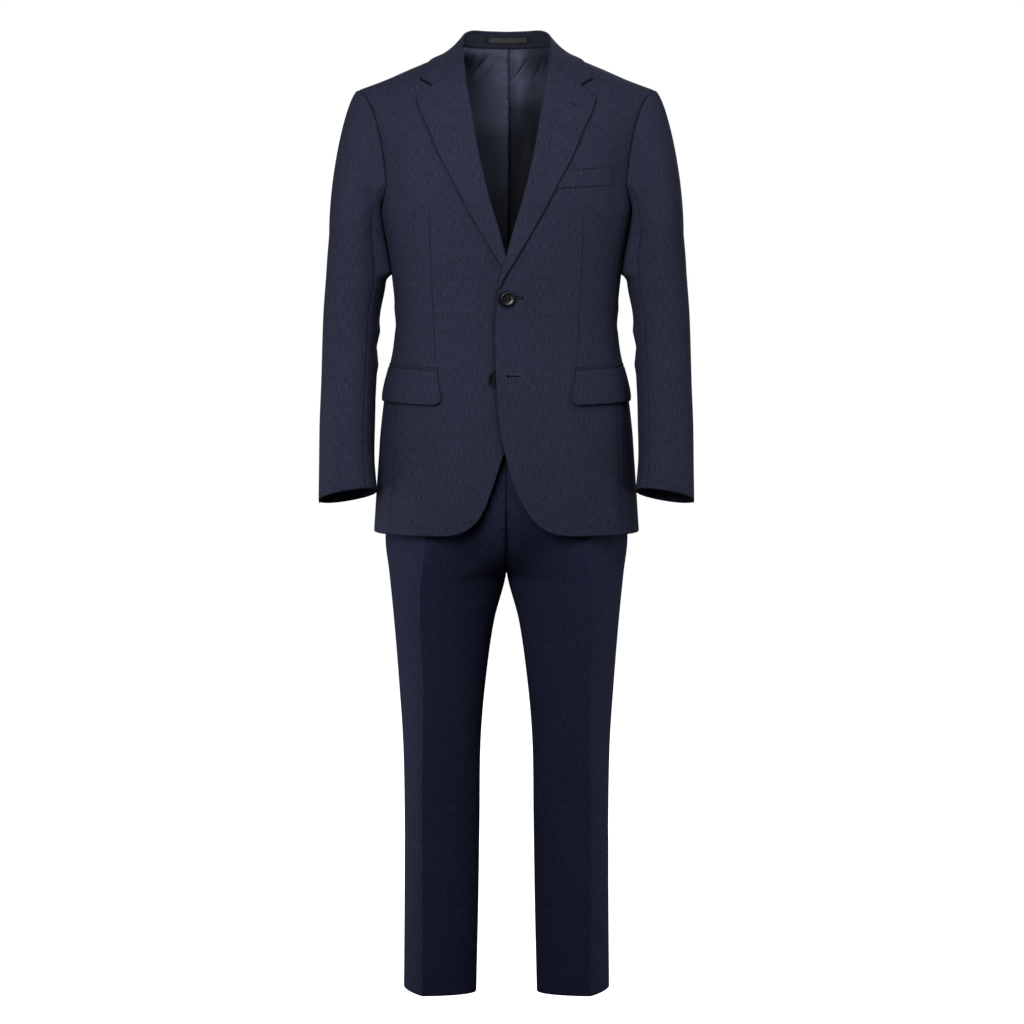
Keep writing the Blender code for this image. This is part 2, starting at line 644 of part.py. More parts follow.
def collar_fall_point(along, down):
    """A point of the fall: down is -3 to 0 round the fold and 0 to 1 to the outer edge."""
    share = min(abs(along), 1.0)
    point = collar_loft(share, down)
    drawn = ease((share - COLLAR_FRONT_SHARE) / (1.0 - COLLAR_FRONT_SHARE))
    if drawn > 0.0:
        point += (gorge_point(down) - collar_loft(1.0, down)) * drawn
    if down > 0.0:
        least = COLLAR_GAP + (REST_GAP + SEAM - COLLAR_GAP) * drawn + CLOTH
        point = settle_on_jacket(point, point.y > 0.0, least * min(4.0 * down, 1.0))
    return Vector((math.copysign(point.x, along) if share > 0.0 else 0.0, point.y, point.z))


def stand_point(along, up_share, lift):
    """A point of the stand's face towards the neck; up_share is 0 at the neck seam."""
    top = collar_fall_point(along, -3.0)
    foot = neck_seam_point(abs(along))
    foot.x = math.copysign(foot.x, along)
    inward = Vector((-top.x, -top.y, 0.0)).normalized()
    low = foot + inward * (CLOTH / 2.0)
    front = ease((abs(along) - NECK_SHARE + 0.06) / 0.12)
    climb = (top - low).normalized() * (3.0 * SEAM + STAND_SHORT * front)
    return low + climb + (top - low - climb * 2.0) * up_share + inward * lift


def collar_columns(reach):
    """The collar's columns on both sides of the centre back, out to a share of it."""
    half = [share for share in COLLAR_COLUMNS if share <= reach]
    return [-share for share in reversed(half)] + [0.0] + half


def build_collar(material):
    """The fall, which turns over at the fold, and the stand inside it."""
    downs = (-3.0, -2.0, -1.0, 0.0, 0.18, 0.38, NOTCH_SHARE, 0.84, 1.0)
    wall("collar_fall", collar_fall_point, collar_columns(1.0), downs, CLOTH, material)

    def stand(along, up_share):
        return stand_point(along, up_share, 0.0)

    wall("collar_stand", stand, collar_columns(STAND_REACH), shares(2), CLOTH, material)


def build_label(material):
    """The bare label on the stand's inner face."""
    reach = LABEL["half_width"] / COLLAR[1][1] * COLLAR[1][0]

    def surface(along, up_share):
        return stand_point(along, up_share, REST_GAP + THIN_CLOTH / 2.0)

    wall("neck_label", surface, shares(6, -reach, reach), (LABEL["bottom"], LABEL["top"]),
         THIN_CLOTH / 2.0, material)


# ---------------------------------------------------------------- sleeves
def armhole_point(station):
    """The armhole, station by station: up the front, down the back, then under the arm."""
    if station <= ARM_ROWS:
        rise = ARM_NOTCH_RISE + (1.0 - ARM_NOTCH_RISE) * station / ARM_ROWS
        place = (ARM_TURN, rise)
    elif station <= 2 * ARM_ROWS:
        rise = 1.0 - (1.0 - ARM_NOTCH_RISE) * (station - ARM_ROWS) / ARM_ROWS
        place = (-ARM_TURN, rise)
    else:
        share = (station - 2 * ARM_ROWS) / UNDERARM_COLUMNS
        turn = -ARM_TURN + 2.0 * ARM_TURN * share
        place = (turn, underarm_rise(turn))
    return jacket_point(*place) + Vector((2.0 * SEAM, 0.0, 0.0))


def station_angle(station):
    """The angle of a station round the arm: 0 outside, a quarter turn in front."""
    reach = math.radians(130.0)
    if station <= 2 * ARM_ROWS:
        return reach * (1.0 - station / ARM_ROWS)
    share = (station - 2 * ARM_ROWS) / UNDERARM_COLUMNS
    return -reach - (2.0 * math.pi - 2.0 * reach) * share


def arm_point(angle, level):
    """A point of the arm below the biceps; level is 0 at the biceps and 1 at the cuff."""
    start = ARM_LEVELS[0][0]
    end = ARM_LEVELS[-1][0]
    rows = ARM_LEVELS[::-1]
    height = start + (end - start) * level
    x, y, half_width, half_depth, pitch, tilt = read_table(rows, height)
    across = half_width * signed_power(math.cos(angle), 2.0 / ARM_POWER)
    ahead = half_depth * signed_power(math.sin(angle), 2.0 / ARM_POWER)
    drop = across * math.tan(math.radians(tilt)) - ahead * math.tan(math.radians(pitch))
    return Vector((x + across, y - ahead, height - drop))


def sleeve_point(station, down):
    """A point of the sleeve: down is 0 to 1 over its head and 1 to 2 down the arm."""
    stations = 2 * ARM_ROWS + UNDERARM_COLUMNS
    station = station % stations
    angle = station_angle(station)
    if down >= 1.0:
        return arm_point(angle, down - 1.0)
    start = armhole_point(station)
    end = arm_point(angle, 0.0)
    distance = (end - start).length
    top_share = max(math.cos(angle), 0.0) ** 2
    leave = Vector((1.0, 0.0, -0.40 * top_share)).normalized() * min(HEAD_START, 0.2 * distance)
    arrive = Vector((0.0, 0.0, -HEAD_FALL * distance))
    weights = ((1.0 - down) ** 3, 3.0 * down * (1.0 - down) ** 2, 3.0 * down ** 2 * (1.0 - down),
               down ** 3)
    corners = (start, start + leave, end - arrive, end)
    point = Vector((0.0, 0.0, 0.0))
    for weight, corner in zip(weights, corners):
        point += corner * weight
    return point


def build_sleeves(material):
    """Top and under sleeve of each arm, which meet at a front and a back seam."""
    rows = shares(HEAD_ROWS) + shares(SLEEVE_ROWS, 1.0, 2.0)[1:]
    stations = 2 * ARM_ROWS + UNDERARM_COLUMNS
    under_start = 2 * ARM_ROWS - 1
    inset = 0.010
    for side in SIDE:
        def surface(around, down):
            return sleeve_point(around * stations, down)
        top_columns = [float(station) for station in range(0, under_start + 1)]
        top_columns[0] = inset
        top_columns[-1] -= inset
        under_columns = [float(station) for station in range(under_start, stations + 1)]
        under_columns[0] += inset
        under_columns[-1] -= inset
        top_columns = [station / stations for station in top_columns]
        under_columns = [station / stations for station in under_columns]
        side_wall("top_sleeve_" + side, surface, top_columns, rows, CLOTH, material, side,
                  flip=True, step=SLEEVE_SLOPE_STEP)
        side_wall("under_sleeve_" + side, surface, under_columns, rows, CLOTH, material, side,
                  flip=True, step=SLEEVE_SLOPE_STEP)


# ---------------------------------------------------------------- pockets and buttons
def build_hip_pockets(material):
    """A jet along the pocket's mouth and a flap under it, on each side."""
    columns = (0.0, 0.025, 0.08, 0.20, 0.33, 0.46, 0.59, 0.72, 0.84, 0.93, 0.98, 1.0)
    inner_turn = jacket_place(FLAP["inner_x"], FLAP["top"])[0]
    outer_turn = math.radians(FLAP["outer_turn"])

    def rise_of(height):
        return (height - CHEST_HEIGHT) / (CHEST_HEIGHT - HEM_HEIGHT)

    def turn_of(across, down):
        lean = 0.010 / 0.15 * down
        return inner_turn + (outer_turn - inner_turn) * across + lean * (1.0 - 1.2 * across)

    def flap(across, down):
        top = FLAP["top"] + FLAP["outer_rise"] * across
        corner = FLAP["corner"]
        near_end = max(abs(across - 0.5) - 0.42, 0.0) / 0.08
        bottom = FLAP["bottom"] + FLAP["outer_rise"] * across
        bottom += corner * (1.0 - math.sqrt(max(1.0 - near_end ** 2, 0.0)))
        height = top + (bottom - top) * down
        lift = REST_GAP + CLOTH + 0.0012 * ease(down)
        return lay_on_jacket(turn_of(across, down), rise_of(height), lift)

    def jet(across, down):
        top = FLAP["top"] + SEAM + JET_HEIGHT + FLAP["outer_rise"] * across
        height = top - JET_HEIGHT * down
        return lay_on_jacket(turn_of(across, 0.0), rise_of(height), REST_GAP + THIN_CLOTH)

    for side in SIDE:
        side_wall("hip_flap_" + side, flap, columns, (0.0, 0.35, 0.7, 1.0), CLOTH, material, side,
                  flip=True)
        side_wall("hip_jet_" + side, jet, shares(10), (0.0, 1.0), THIN_CLOTH, material, side,
                  flip=True)


def build_breast_welt(material):
    """The slanting welt on the left breast, from the lapel's edge outwards."""
    def surface(across, up):
        outer = (WELT["outer_x"], WELT["outer_bottom"] + WELT["height"] * up)
        inner_height = WELT["inner_bottom"] + WELT["height"] * up
        inner_x = read_table(LAPEL_EDGE, inner_height)[0] + 3.0 * SEAM
        x = inner_x + (outer[0] - inner_x) * across
        height = inner_height + (outer[1] - inner_height) * across
        turn, rise = jacket_place(x, height)
        lift = lap_lift("left", x, height) + REST_GAP + THIN_CLOTH
        return lay_on_jacket(turn, rise, lift)

    side_wall("breast_welt", surface, shares(6), shares(2), THIN_CLOTH, material, "left")


def button_profile(thick):
    """Radius and height of the button's turned outline, from its back to its face."""
    radius = BUTTON_RADIUS
    return ((0.0, 0.0), (0.55 * radius, 0.0), (0.90 * radius, 0.30 * thick),
            (radius, 0.62 * thick), (0.93 * radius, 0.95 * thick), (0.80 * radius, thick),
            (0.62 * radius, 0.74 * thick), (0.0, 0.70 * thick))


def build_button(name, side, x, height, thick, lift, material, cutters):
    """A four-hole button with a raised rim, facing out of the cloth."""
    turn, rise = jacket_place(abs(x), height)
    centre = jacket_point(turn, rise)
    facing = jacket_normal(math.pi / 2.0, rise)
    seat = Vector((x, centre.y, height)) + facing * lift
    profile = button_profile(thick)
    steps = 20
    points = [Vector((0.0, 0.0, profile[0][1]))]
    for radius, level in profile[1:-1]:
        for step in range(steps):
            angle = 2.0 * math.pi * step / steps
            points.append(Vector((radius * math.cos(angle), radius * math.sin(angle), level)))
    points.append(Vector((0.0, 0.0, profile[-1][1])))
    faces = []
    last = len(points) - 1
    for step in range(steps):
        following = (step + 1) % steps
        faces.append((0, 1 + following, 1 + step))
        for ring in range(len(profile) - 3):
            low = 1 + ring * steps
            high = low + steps
            faces.append((low + step, low + following, high + following, high + step))
        top = 1 + (len(profile) - 3) * steps
        faces.append((top + step, top + following, last))
    turn_to = facing.to_track_quat("Z", "Y")
    placed = [seat + turn_to @ point for point in points]
    button = add_piece(name, placed, faces, material)
    bpy.ops.object.select_all(action="DESELECT")
    for across in (-1.0, 1.0):
        for up in (-1.0, 1.0):
            reach = BUTTON_HOLE_REACH / math.sqrt(2.0)
            spot = seat + turn_to @ Vector((across * reach, up * reach, thick / 2.0))
            bpy.ops.mesh.primitive_cylinder_add(vertices=8, radius=BUTTON_HOLE, depth=thick * 3.0,
                                                location=spot, rotation=turn_to.to_euler())
            cutter = bpy.context.object
            cutter.name = "cut_" + name
            cutter.hide_render = True
            cutter.display_type = "WIRE"
            for holder in list(cutter.users_collection):
                holder.objects.unlink(cutter)
            cutters.objects.link(cutter)
            cut = button.modifiers.new("hole", "BOOLEAN")
            cut.operation = "DIFFERENCE"
            cut.solver = "EXACT"
            cut.object = cutter
    return button


def build_buttons(material, cutters):
    """The fastened top button, and the lower one half under the left front's edge."""
    top_lift = lap_lift("left", 0.0, TOP_BUTTON["height"]) + REST_GAP
    build_button("front_button_top", "left", TOP_BUTTON["x"], TOP_BUTTON["height"],
                 TOP_BUTTON["thick"], top_lift, material, cutters)
    build_button("front_button_lower", "right", LOWER_BUTTON["x"], LOWER_BUTTON["height"],
                 LOWER_BUTTON["thick"], SEAM, material, cutters)


# ---------------------------------------------------------------- trousers
def hip_turn(turn, crease):
    """Angle round the hips for a turn of 0 at the side seam, 90 at the crease, 180 in the middle."""
    if turn <= 90.0:
        return crease * turn / 90.0
    return crease + (90.0 - crease) * (turn - 90.0) / 90.0


def trouser_point(turn, height, rear):
    """A point of the left half: turn is 0 at the side seam, 90 at the crease, 180 in the middle.

    Above the fork the middle is the centre seam, and below it the inside leg.
    """
    half_width, front, back = read_table(PELVIS_LEVELS[::-1], height)
    angle = math.radians(hip_turn(turn, BACK_CREASE_TURN if rear else FRONT_CREASE_TURN))
    power = 2.0 / 2.3
    hip_x = half_width * signed_power(math.cos(angle), power)
    hip_y = (back if rear else front) * signed_power(math.sin(angle), power)
    row = read_table(LEG_LEVELS[::-1], height)
    out_x, out_y, front_x, front_y, in_x, in_y, back_x, back_y = row
    crease_x = back_x if rear else front_x
    crease_y = back_y if rear else front_y
    leg_angle = math.radians(turn)
    sideways = abs(math.cos(leg_angle)) ** (2.0 / LEG_POWERS[0])
    ahead = signed_power(math.sin(leg_angle), 2.0 / LEG_POWERS[1])
    seam_x = out_x if turn <= 90.0 else in_x
    seam_y = out_y if turn <= 90.0 else in_y
    leg_x = crease_x + (seam_x - crease_x) * sideways
    leg_y = seam_y + (crease_y - seam_y) * ahead
    parted = min(max((FORK_START - height) / (FORK_START - CROTCH_HEIGHT), 0.0), 1.0)
    outside = 1.0 - ease(parted)
    inside = math.sqrt(1.0 - parted ** 3)
    hips = outside + (inside - outside) * ease(turn / 90.0 - 1.0)
    x = hip_x * hips + leg_x * (1.0 - hips)
    y = hip_y * hips + leg_y * (1.0 - hips)
    return Vector((x, y, height))


def build_trousers(material):
    """Front and back panel of each leg, and the waistband's two halves."""
    top = WAIST_HEIGHT - BAND_HEIGHT - SEAM
    rows = (TROUSER_HEM, -1.35, -1.25, -1.15, -1.06, -0.98, -0.92, -0.87, -0.83, -0.805, -0.790,
            -0.783, -0.770, -0.752, -0.725, -0.690, -0.640, -0.590, top)
    columns = shares(LEG_COLUMNS, 0.15, 90.0) + shares(LEG_COLUMNS, 90.0, 179.85)[1:]
    for side in SIDE:
        for part, rear in (("front", False), ("back", True)):
            def surface(turn, height, rear=rear):
                point = trouser_point(turn, height, rear)
                return point + Vector((SEAM / 2.0, 0.0, 0.0))
            side_wall("trouser_%s_%s" % (part, side), surface, columns, rows, CLOTH, material,
                      side, flip=not rear)


def build_waistband(material):
    """The waistband, meeting at the centre front and the centre back."""
    def surface(around, height):
        angle = math.radians(90.0 - around)
        half_width, front, back = read_table(PELVIS_LEVELS[::-1], height)
        power = 2.0 / 2.3
        depth = -front if math.sin(angle) > 0.0 else back
        return Vector((half_width * signed_power(math.cos(angle), power) + SEAM / 2.0,
                       -depth * signed_power(math.sin(angle), power), height))
    for side in SIDE:
        side_wall("waistband_" + side, surface, shares(14, 0.1, 179.9),
                  (WAIST_HEIGHT - BAND_HEIGHT, WAIST_HEIGHT - BAND_HEIGHT / 2.0, WAIST_HEIGHT),
                  CLOTH, material, side)


# ---------------------------------------------------------------- the suit
def finish(name, colour, roughness, metallic=0.0):
    """A Principled material."""
    material = bpy.data.materials.new(name)
    material.use_nodes = True
    shader = material.node_tree.nodes["Principled BSDF"]
    shader.inputs["Base Color"].default_value = (*colour, 1.0)
    shader.inputs["Roughness"].default_value = roughness
    shader.inputs["Metallic"].default_value = metallic
    return material


def main():
    """Clear the scene and build every piece."""
    for old in list(bpy.data.objects):
        bpy.data.objects.remove(old, do_unlink=True)
    suit = bpy.data.collections.new("two_piece_suit")
    cutters = bpy.data.collections.new("cutters")
    bpy.context.scene.collection.children.link(suit)
    bpy.context.scene.collection.children.link(cutters)

    jacket_cloth = finish("jacket_cloth", (0.026, 0.031, 0.058), 0.85)
    trouser_cloth = finish("trouser_cloth", (0.012, 0.014, 0.030), 0.85)
    lining_satin = finish("lining_satin", (0.033, 0.038, 0.058), 0.45)
    label_cloth = finish("label_cloth", (0.035, 0.033, 0.032), 0.7)
    horn = finish("button_horn", (0.010, 0.010, 0.014), 0.25)

    build_fronts(jacket_cloth)
    build_side_bodies(jacket_cloth)
    build_backs(jacket_cloth)
    build_back_lining(lining_satin)
    build_lapels(jacket_cloth)
    build_collar(jacket_cloth)
    build_label(label_cloth)
    build_sleeves(jacket_cloth)
    build_hip_pockets(jacket_cloth)
    build_breast_welt(jacket_cloth)
    build_buttons(horn, cutters)
    build_trousers(trouser_cloth)
    build_waistband(trouser_cloth)


main()
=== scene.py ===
"""A two-piece suit of fine navy wool, filled out as it is worn, with no wearer.

Metres, +Z up. The front faces -Y and the wearer's left is +X. Every sheet of cloth is laid on the
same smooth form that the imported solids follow, then given its folds, its sunk seams, its turned
edges and its sewing.
"""

from __future__ import annotations

import logging
import math
from dataclasses import dataclass, field
from enum import Enum
from typing import Callable, ClassVar, Sequence

import bmesh
import bpy
import numpy as np
from mathutils import Matrix, Vector

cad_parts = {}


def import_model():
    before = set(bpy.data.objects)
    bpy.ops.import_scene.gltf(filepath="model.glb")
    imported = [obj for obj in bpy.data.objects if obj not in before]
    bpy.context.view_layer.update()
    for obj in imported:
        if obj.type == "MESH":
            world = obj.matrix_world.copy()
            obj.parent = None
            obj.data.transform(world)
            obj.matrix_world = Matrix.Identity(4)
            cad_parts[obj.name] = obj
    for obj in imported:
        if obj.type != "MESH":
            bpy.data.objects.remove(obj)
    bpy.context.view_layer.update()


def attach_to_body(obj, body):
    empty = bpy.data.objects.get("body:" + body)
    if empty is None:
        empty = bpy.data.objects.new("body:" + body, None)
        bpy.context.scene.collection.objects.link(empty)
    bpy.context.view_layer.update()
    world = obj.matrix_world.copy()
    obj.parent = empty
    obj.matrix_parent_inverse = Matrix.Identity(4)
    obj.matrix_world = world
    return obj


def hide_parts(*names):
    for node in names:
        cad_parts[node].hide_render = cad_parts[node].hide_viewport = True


LOG = logging.getLogger("suit")

Array = np.ndarray
Material = bpy.types.Material
NodeTree = bpy.types.NodeTree
Object = bpy.types.Object
Socket = bpy.types.NodeSocket
Colour = tuple[float, float, float]
Pair = tuple[float, float]
Place = tuple[float, float, float]
Grids = tuple[Array, Array]
Surface = Callable[[Array, Array], Array]
Relief = Callable[[Array, Array, Array], Array]

CLOTH = 0.0016
THIN_CLOTH = 0.0012
SEAM = 0.0003
REST_GAP = 0.0008
LIP_REACH = 0.0013
LIP_DEPTH = 0.0022
SLOPE_STEP = 0.002


class Side(Enum):
    """The wearer's side a piece is on, and the sign of its x."""

    LEFT = 1.0
    RIGHT = -1.0

    @property
    def word(self) -> str:
        """The side's name as the nodes spell it."""
        return self.name.lower()


class Edge(Enum):
    """How an edge is finished: how deep it sinks over what width, and how dark the shade painted
    beside it is over what width.
    """

    SEAM = (0.0008, 0.0017, 0.3, 0.001)
    LAPPED = (0.0003, 0.001, 0.06, 0.001)
    TURNED = (0.0005, 0.0009, 0.8, 0.0012)
    RAW = (0.0, 0.001, 0.0, 0.001)


# ---------------------------------------------------------------- numbers
def ease(share: Array) -> Array:
    """A smooth change from 0 to 1."""
    share = np.clip(share, 0.0, 1.0)
    return share * share * (3.0 - 2.0 * share)


def signed_power(value: Array, power: float) -> Array:
    """A power that keeps its sign."""
    return np.copysign(np.abs(value) ** power, value)


def unit(vectors: Array) -> Array:
    """Vectors of length one along the last axis."""
    return vectors / np.maximum(np.linalg.norm(vectors, axis=-1, keepdims=True), 1e-12)


def stack(x: Array, y: Array, z: Array) -> Array:
    """Points from their three coordinates, spread to one shape."""
    return np.stack(np.broadcast_arrays(x, y, z), axis=-1)


def between(first: Array | float, last: Array | float, share: Array) -> Array:
    """The value at a share of the way from first to last."""
    return first + (last - first) * share


def bell(away: Array) -> Array:
    """A smooth bump: 1 at nought, and soon nothing on either side."""
    return np.exp(-away ** 2)


def curve(start: Array, leave: Array, arrive: Array, end: Array, part: Array) -> Array:
    """Points at a part of the way along a curve with two handles."""
    first = start * (1.0 - part) ** 3 + leave * 3.0 * part * (1.0 - part) ** 2
    return first + arrive * 3.0 * part ** 2 * (1.0 - part) + end * part ** 3


def towards_axis(points: Array) -> Array:
    """The level direction from each point to the upright axis."""
    return unit(stack(-points[..., 0], -points[..., 1], 0.0))


def steps(first: float, last: float, count: int) -> Array:
    """Even steps from first to last."""
    return np.linspace(first, last, count + 1)


def graded(first: float, last: float, count: int, length: float) -> Array:
    """Even steps with a few close ones beside each end, where an edge is shaped.

    Args:
        first: the first value.
        last: the last value.
        count: the even steps between the ends.
        length: what the whole span measures, in metres.

    Returns:
        The rising values.
    """
    near = np.array([0.0006, 0.0013, 0.0021, 0.0031, 0.0045]) / length
    even = np.linspace(0.0, 1.0, count + 1)
    clear = near[-1] + 0.4 / count
    keep = even[(even > clear) & (even < 1.0 - clear)]
    return between(first, last, np.concatenate(([0.0], near, keep, 1.0 - near[::-1], [1.0])))


@dataclass(frozen=True)
class Table:
    """Rows of sizes keyed by their first column, read on a smooth curve through the rows."""

    rows: tuple[tuple[float, ...], ...]

    def read(self, key: Array) -> Array:
        """The other columns at each key.

        Args:
            key: values of the first column, in any shape.

        Returns:
            An array with one more axis, which holds the columns.
        """
        ordered = sorted(self.rows)
        keys = np.array([row[0] for row in ordered])
        values = np.array([row[1:] for row in ordered])
        last = len(keys) - 1
        low = np.maximum(np.arange(last + 1) - 1, 0)
        high = np.minimum(np.arange(last + 1) + 1, last)
        slopes = (values[high] - values[low]) / (keys[high] - keys[low])[:, None]
        key = np.asarray(key, dtype=float)
        place = np.clip(np.searchsorted(keys, key, side="right") - 1, 0, last - 1)
        span = (keys[place + 1] - keys[place])[..., None]
        share = np.clip((key - keys[place])[..., None] / span, 0.0, 1.0)
        start = values[place]
        end = values[place + 1]
        first_pull = share * (1.0 - share) ** 2 * slopes[place]
        last_pull = share * share * (share - 1.0) * slopes[place + 1]
        return start + (end - start) * ease(share) + span * (first_pull + last_pull)

    def one(self, key: Array) -> Array:
        """The second column at each key."""
        return self.read(key)[..., 0]


# ---------------------------------------------------------------- the jacket's form
@dataclass(frozen=True)
class JacketForm:
    """The jacket's smooth form and the seams that lie on it.

    turn is the angle round it: 0 at the side, a quarter turn at the centre front and minus that at
    the centre back. rise is -1 at the hem, 0 at the chest and 1 on the shoulder ridge.
    """

    hem: float = -0.7235
    chest: float = -0.235
    ring_power: float = 2.5
    shoulder_half: float = 0.2425
    arm_turn: float = math.radians(24.0)
    hem_seam_turn: float = math.radians(33.0)
    notch_rise: float = 0.1
    underarm: float = -0.03
    neck_x: float = 0.074
    back_neck: float = -0.002
    arch_front: Pair = (2.2, 1.7)
    arch_back: Pair = (2.6, 1.9)
    neck_foot: float = 0.0152
    neck_inset: float = 0.0048
    neck_hold: Pair = (0.57, 0.13)
    neck_power: float = 0.8
    seam_rows: int = 13
    arm_rows: int = 7
    neck_part: float = 0.4
    neck_share: float = 0.64
    levels: Table = Table((
        (-0.7235, 0.204, -0.138, 0.132), (-0.665, 0.1996, -0.137, 0.131),
        (-0.6157, 0.1957, -0.135, 0.129), (-0.5664, 0.1922, -0.133, 0.126),
        (-0.4926, 0.1838, -0.129, 0.118), (-0.4435, 0.1738, -0.126, 0.11),
        (-0.3945, 0.1702, -0.124, 0.104), (-0.3395, 0.1746, -0.126, 0.106),
        (-0.3, 0.1805, -0.13, 0.112), (-0.235, 0.1935, -0.134, 0.12),
    ))
    ridge: Table = Table((
        (0.0, 0.028), (0.04, 0.02), (0.074, 0.008), (0.09, 0.0032), (0.108, -0.0036),
        (0.149, -0.0205), (0.184, -0.0357), (0.226, -0.051), (0.245, -0.057),
    ))
    front_edge: Table = Table((
        (-0.676, 0.0246), (-0.64, 0.0086), (-0.598, -0.0026), (-0.568, -0.0093), (-0.528, -0.0134),
        (-0.4786, -0.0162), (-0.4116, -0.0176), (-0.361, -0.0131), (-0.312, 0.0003),
        (-0.2705, 0.011), (-0.2201, 0.0263), (-0.1913, 0.034), (-0.1441, 0.0445), (-0.1047, 0.0514),
        (-0.0709, 0.0573), (-0.0419, 0.0622), (-0.0162, 0.0652), (0.008, 0.074),
    ))
    cutaway: Table = Table((
        (0.0246, -0.676), (0.0447, -0.703), (0.0689, -0.7185), (0.095, -0.723), (0.14, -0.7235),
        (0.18, -0.7235),
    ))
    lap: Table = Table((
        (-0.7235, 0.004), (-0.598, 0.0052), (-0.42, 0.0052), (-0.365, 0.0074), (-0.305, 0.0074),
        (-0.25, 0.0),
    ))
    lap_reach: Pair = (0.02, 0.085)

    def half_width(self, lifted: Array) -> Array:
        """Half width above the chest; lifted is 0 at the chest and 1 at the ridge."""
        half = self.levels.rows[-1][1]
        return between(half, self.shoulder_half, 0.75 * lifted ** 2 + 0.25 * lifted ** 10)

    def point(self, turn: Array, rise: Array) -> Array:
        """Points of the form.

        Args:
            turn: the angle round the form.
            rise: how far up it.

        Returns:
            The points, with a last axis of three.
        """
        turn, rise = np.broadcast_arrays(turn, rise)
        across = signed_power(np.cos(turn), 2.0 / self.ring_power)
        outward = signed_power(np.sin(turn), 2.0 / self.ring_power)
        ahead = outward > 0.0
        low_z = self.chest + np.minimum(rise, 0.0) * (self.chest - self.hem)
        level = self.levels.read(low_z)
        low_depth = np.where(ahead, -level[..., 1], level[..., 2])
        upright = np.where(ahead, self.arch_front[0], self.arch_back[0])
        flat = np.where(ahead, self.arch_front[1], self.arch_back[1])
        quarter = np.maximum(rise, 0.0) * math.pi / 2.0
        lifted = np.abs(np.sin(quarter)) ** (2.0 / upright)
        remaining = signed_power(np.cos(quarter), 2.0 / flat)
        high_x = self.half_width(lifted) * across
        high_z = between(self.chest, self.ridge.one(np.abs(high_x)), lifted)
        front, back = self.levels.rows[-1][2:]
        high_depth = np.where(ahead, -front, back)
        lower = rise <= 0.0
        x = np.where(lower, level[..., 0] * across, high_x)
        y = np.where(lower, -low_depth * outward, -high_depth * outward * remaining)
        return stack(x, y, np.where(lower, low_z, high_z))

    def place(self, x: Array, height: Array, rear: Array | bool = False) -> Grids:
        """Turn and rise of the form's point that is seen at x and a height.

        Args:
            x: the distance from the middle.
            height: the height.
            rear: whether the back is meant.

        Returns:
            The turn and the rise.
        """
        x, height, rear = np.broadcast_arrays(x, height, rear)
        low_rise = (height - self.chest) / (self.chest - self.hem)
        upright = np.where(rear, self.arch_back[0], self.arch_front[0])
        over = self.ridge.one(np.abs(x)) - self.chest
        lifted = np.clip((height - self.chest) / over, 0.0, 1.0)
        high_rise = np.arcsin(lifted ** (upright / 2.0)) * 2.0 / math.pi
        lower = height <= self.chest
        half = np.where(lower, self.levels.one(height), self.half_width(lifted))
        turn = np.arccos(signed_power(np.minimum(x / half, 1.0), self.ring_power / 2.0))
        return np.where(rear, -turn, turn), np.where(lower, low_rise, high_rise)

    def normal(self, turn: Array, rise: Array) -> Array:
        """The outward direction of the form.

        Args:
            turn: the angle round the form.
            rise: how far up it.

        Returns:
            The directions, with a last axis of three.
        """
        step = SLOPE_STEP
        along = self.point(turn, rise + step) - self.point(turn, rise - step)
        around = self.point(turn + step, rise) - self.point(turn - step, rise)
        return unit(np.cross(along, around))

    def lay(self, turn: Array, rise: Array, lift: Array | float) -> Array:
        """Points of the form moved out by lift."""
        lift = np.broadcast_to(lift, np.broadcast(turn, rise).shape)
        return self.point(turn, rise) + self.normal(turn, rise) * lift[..., None]

    def seam_turn(self, rise: Array) -> Array:
        """The turn of the side-body seams, which run on into the armhole."""
        return between(self.arm_turn, self.hem_seam_turn, ease(-rise))

    def seam_rise(self, share: Array) -> Array:
        """Rise along the side seam and the armhole.

        Args:
            share: 0 at the hem to 1 at the top of the armhole.

        Returns:
            The rises.
        """
        notch = self.seam_rows / (self.seam_rows + self.arm_rows)
        low = -1.0 + (1.0 + self.notch_rise) * share / notch
        high = self.notch_rise + (1.0 - self.notch_rise) * (share - notch) / (1.0 - notch)
        return np.where(share <= notch, low, high)

    def underarm_rise(self, turn: Array) -> Array:
        """Rise of the armhole's lower part, which the side body ends at."""
        return between(self.underarm, self.notch_rise, (turn / self.arm_turn) ** 2)

    def lap_lift(self, side: Side, x: Array, height: Array) -> Array:
        """How far a front stands off the form: the left one passes over the right one.

        Args:
            side: the front's side.
            x: the distance from the middle.
            height: the height.

        Returns:
            The lifts, in metres.
        """
        if side is Side.RIGHT:
            return np.zeros(np.broadcast(x, height).shape)
        near, far = self.lap_reach
        return self.lap.one(height) * (1.0 - ease((x - near) / (far - near)))

    def front_inner(self, rise: Array) -> Grids:
        """Turn and rise of the front's inner edge: front edge, roll line and neck.

        Args:
            rise: how far up the form.

        Returns:
            The turn and the rise.
        """
        bottom = self.front_edge.rows[0][0]
        low_height = self.chest + np.minimum(rise, 0.0) * (self.chest - bottom)
        low_turn, low_rise = self.place(self.front_edge.one(low_height), low_height)
        lifted = np.sin(np.clip(rise, 0.0, 1.0) * math.pi / 2.0) ** (2.0 / self.arch_front[0])
        x = np.full(np.shape(rise), self.neck_x)
        for _ in range(8):
            x = self.front_edge.one(between(self.chest, self.ridge.one(x), lifted))
        high_turn = np.arccos(signed_power(x / self.half_width(lifted), self.ring_power / 2.0))
        lower = np.asarray(rise) <= 0.0
        return np.where(lower, low_turn, high_turn), np.where(lower, low_rise, rise)

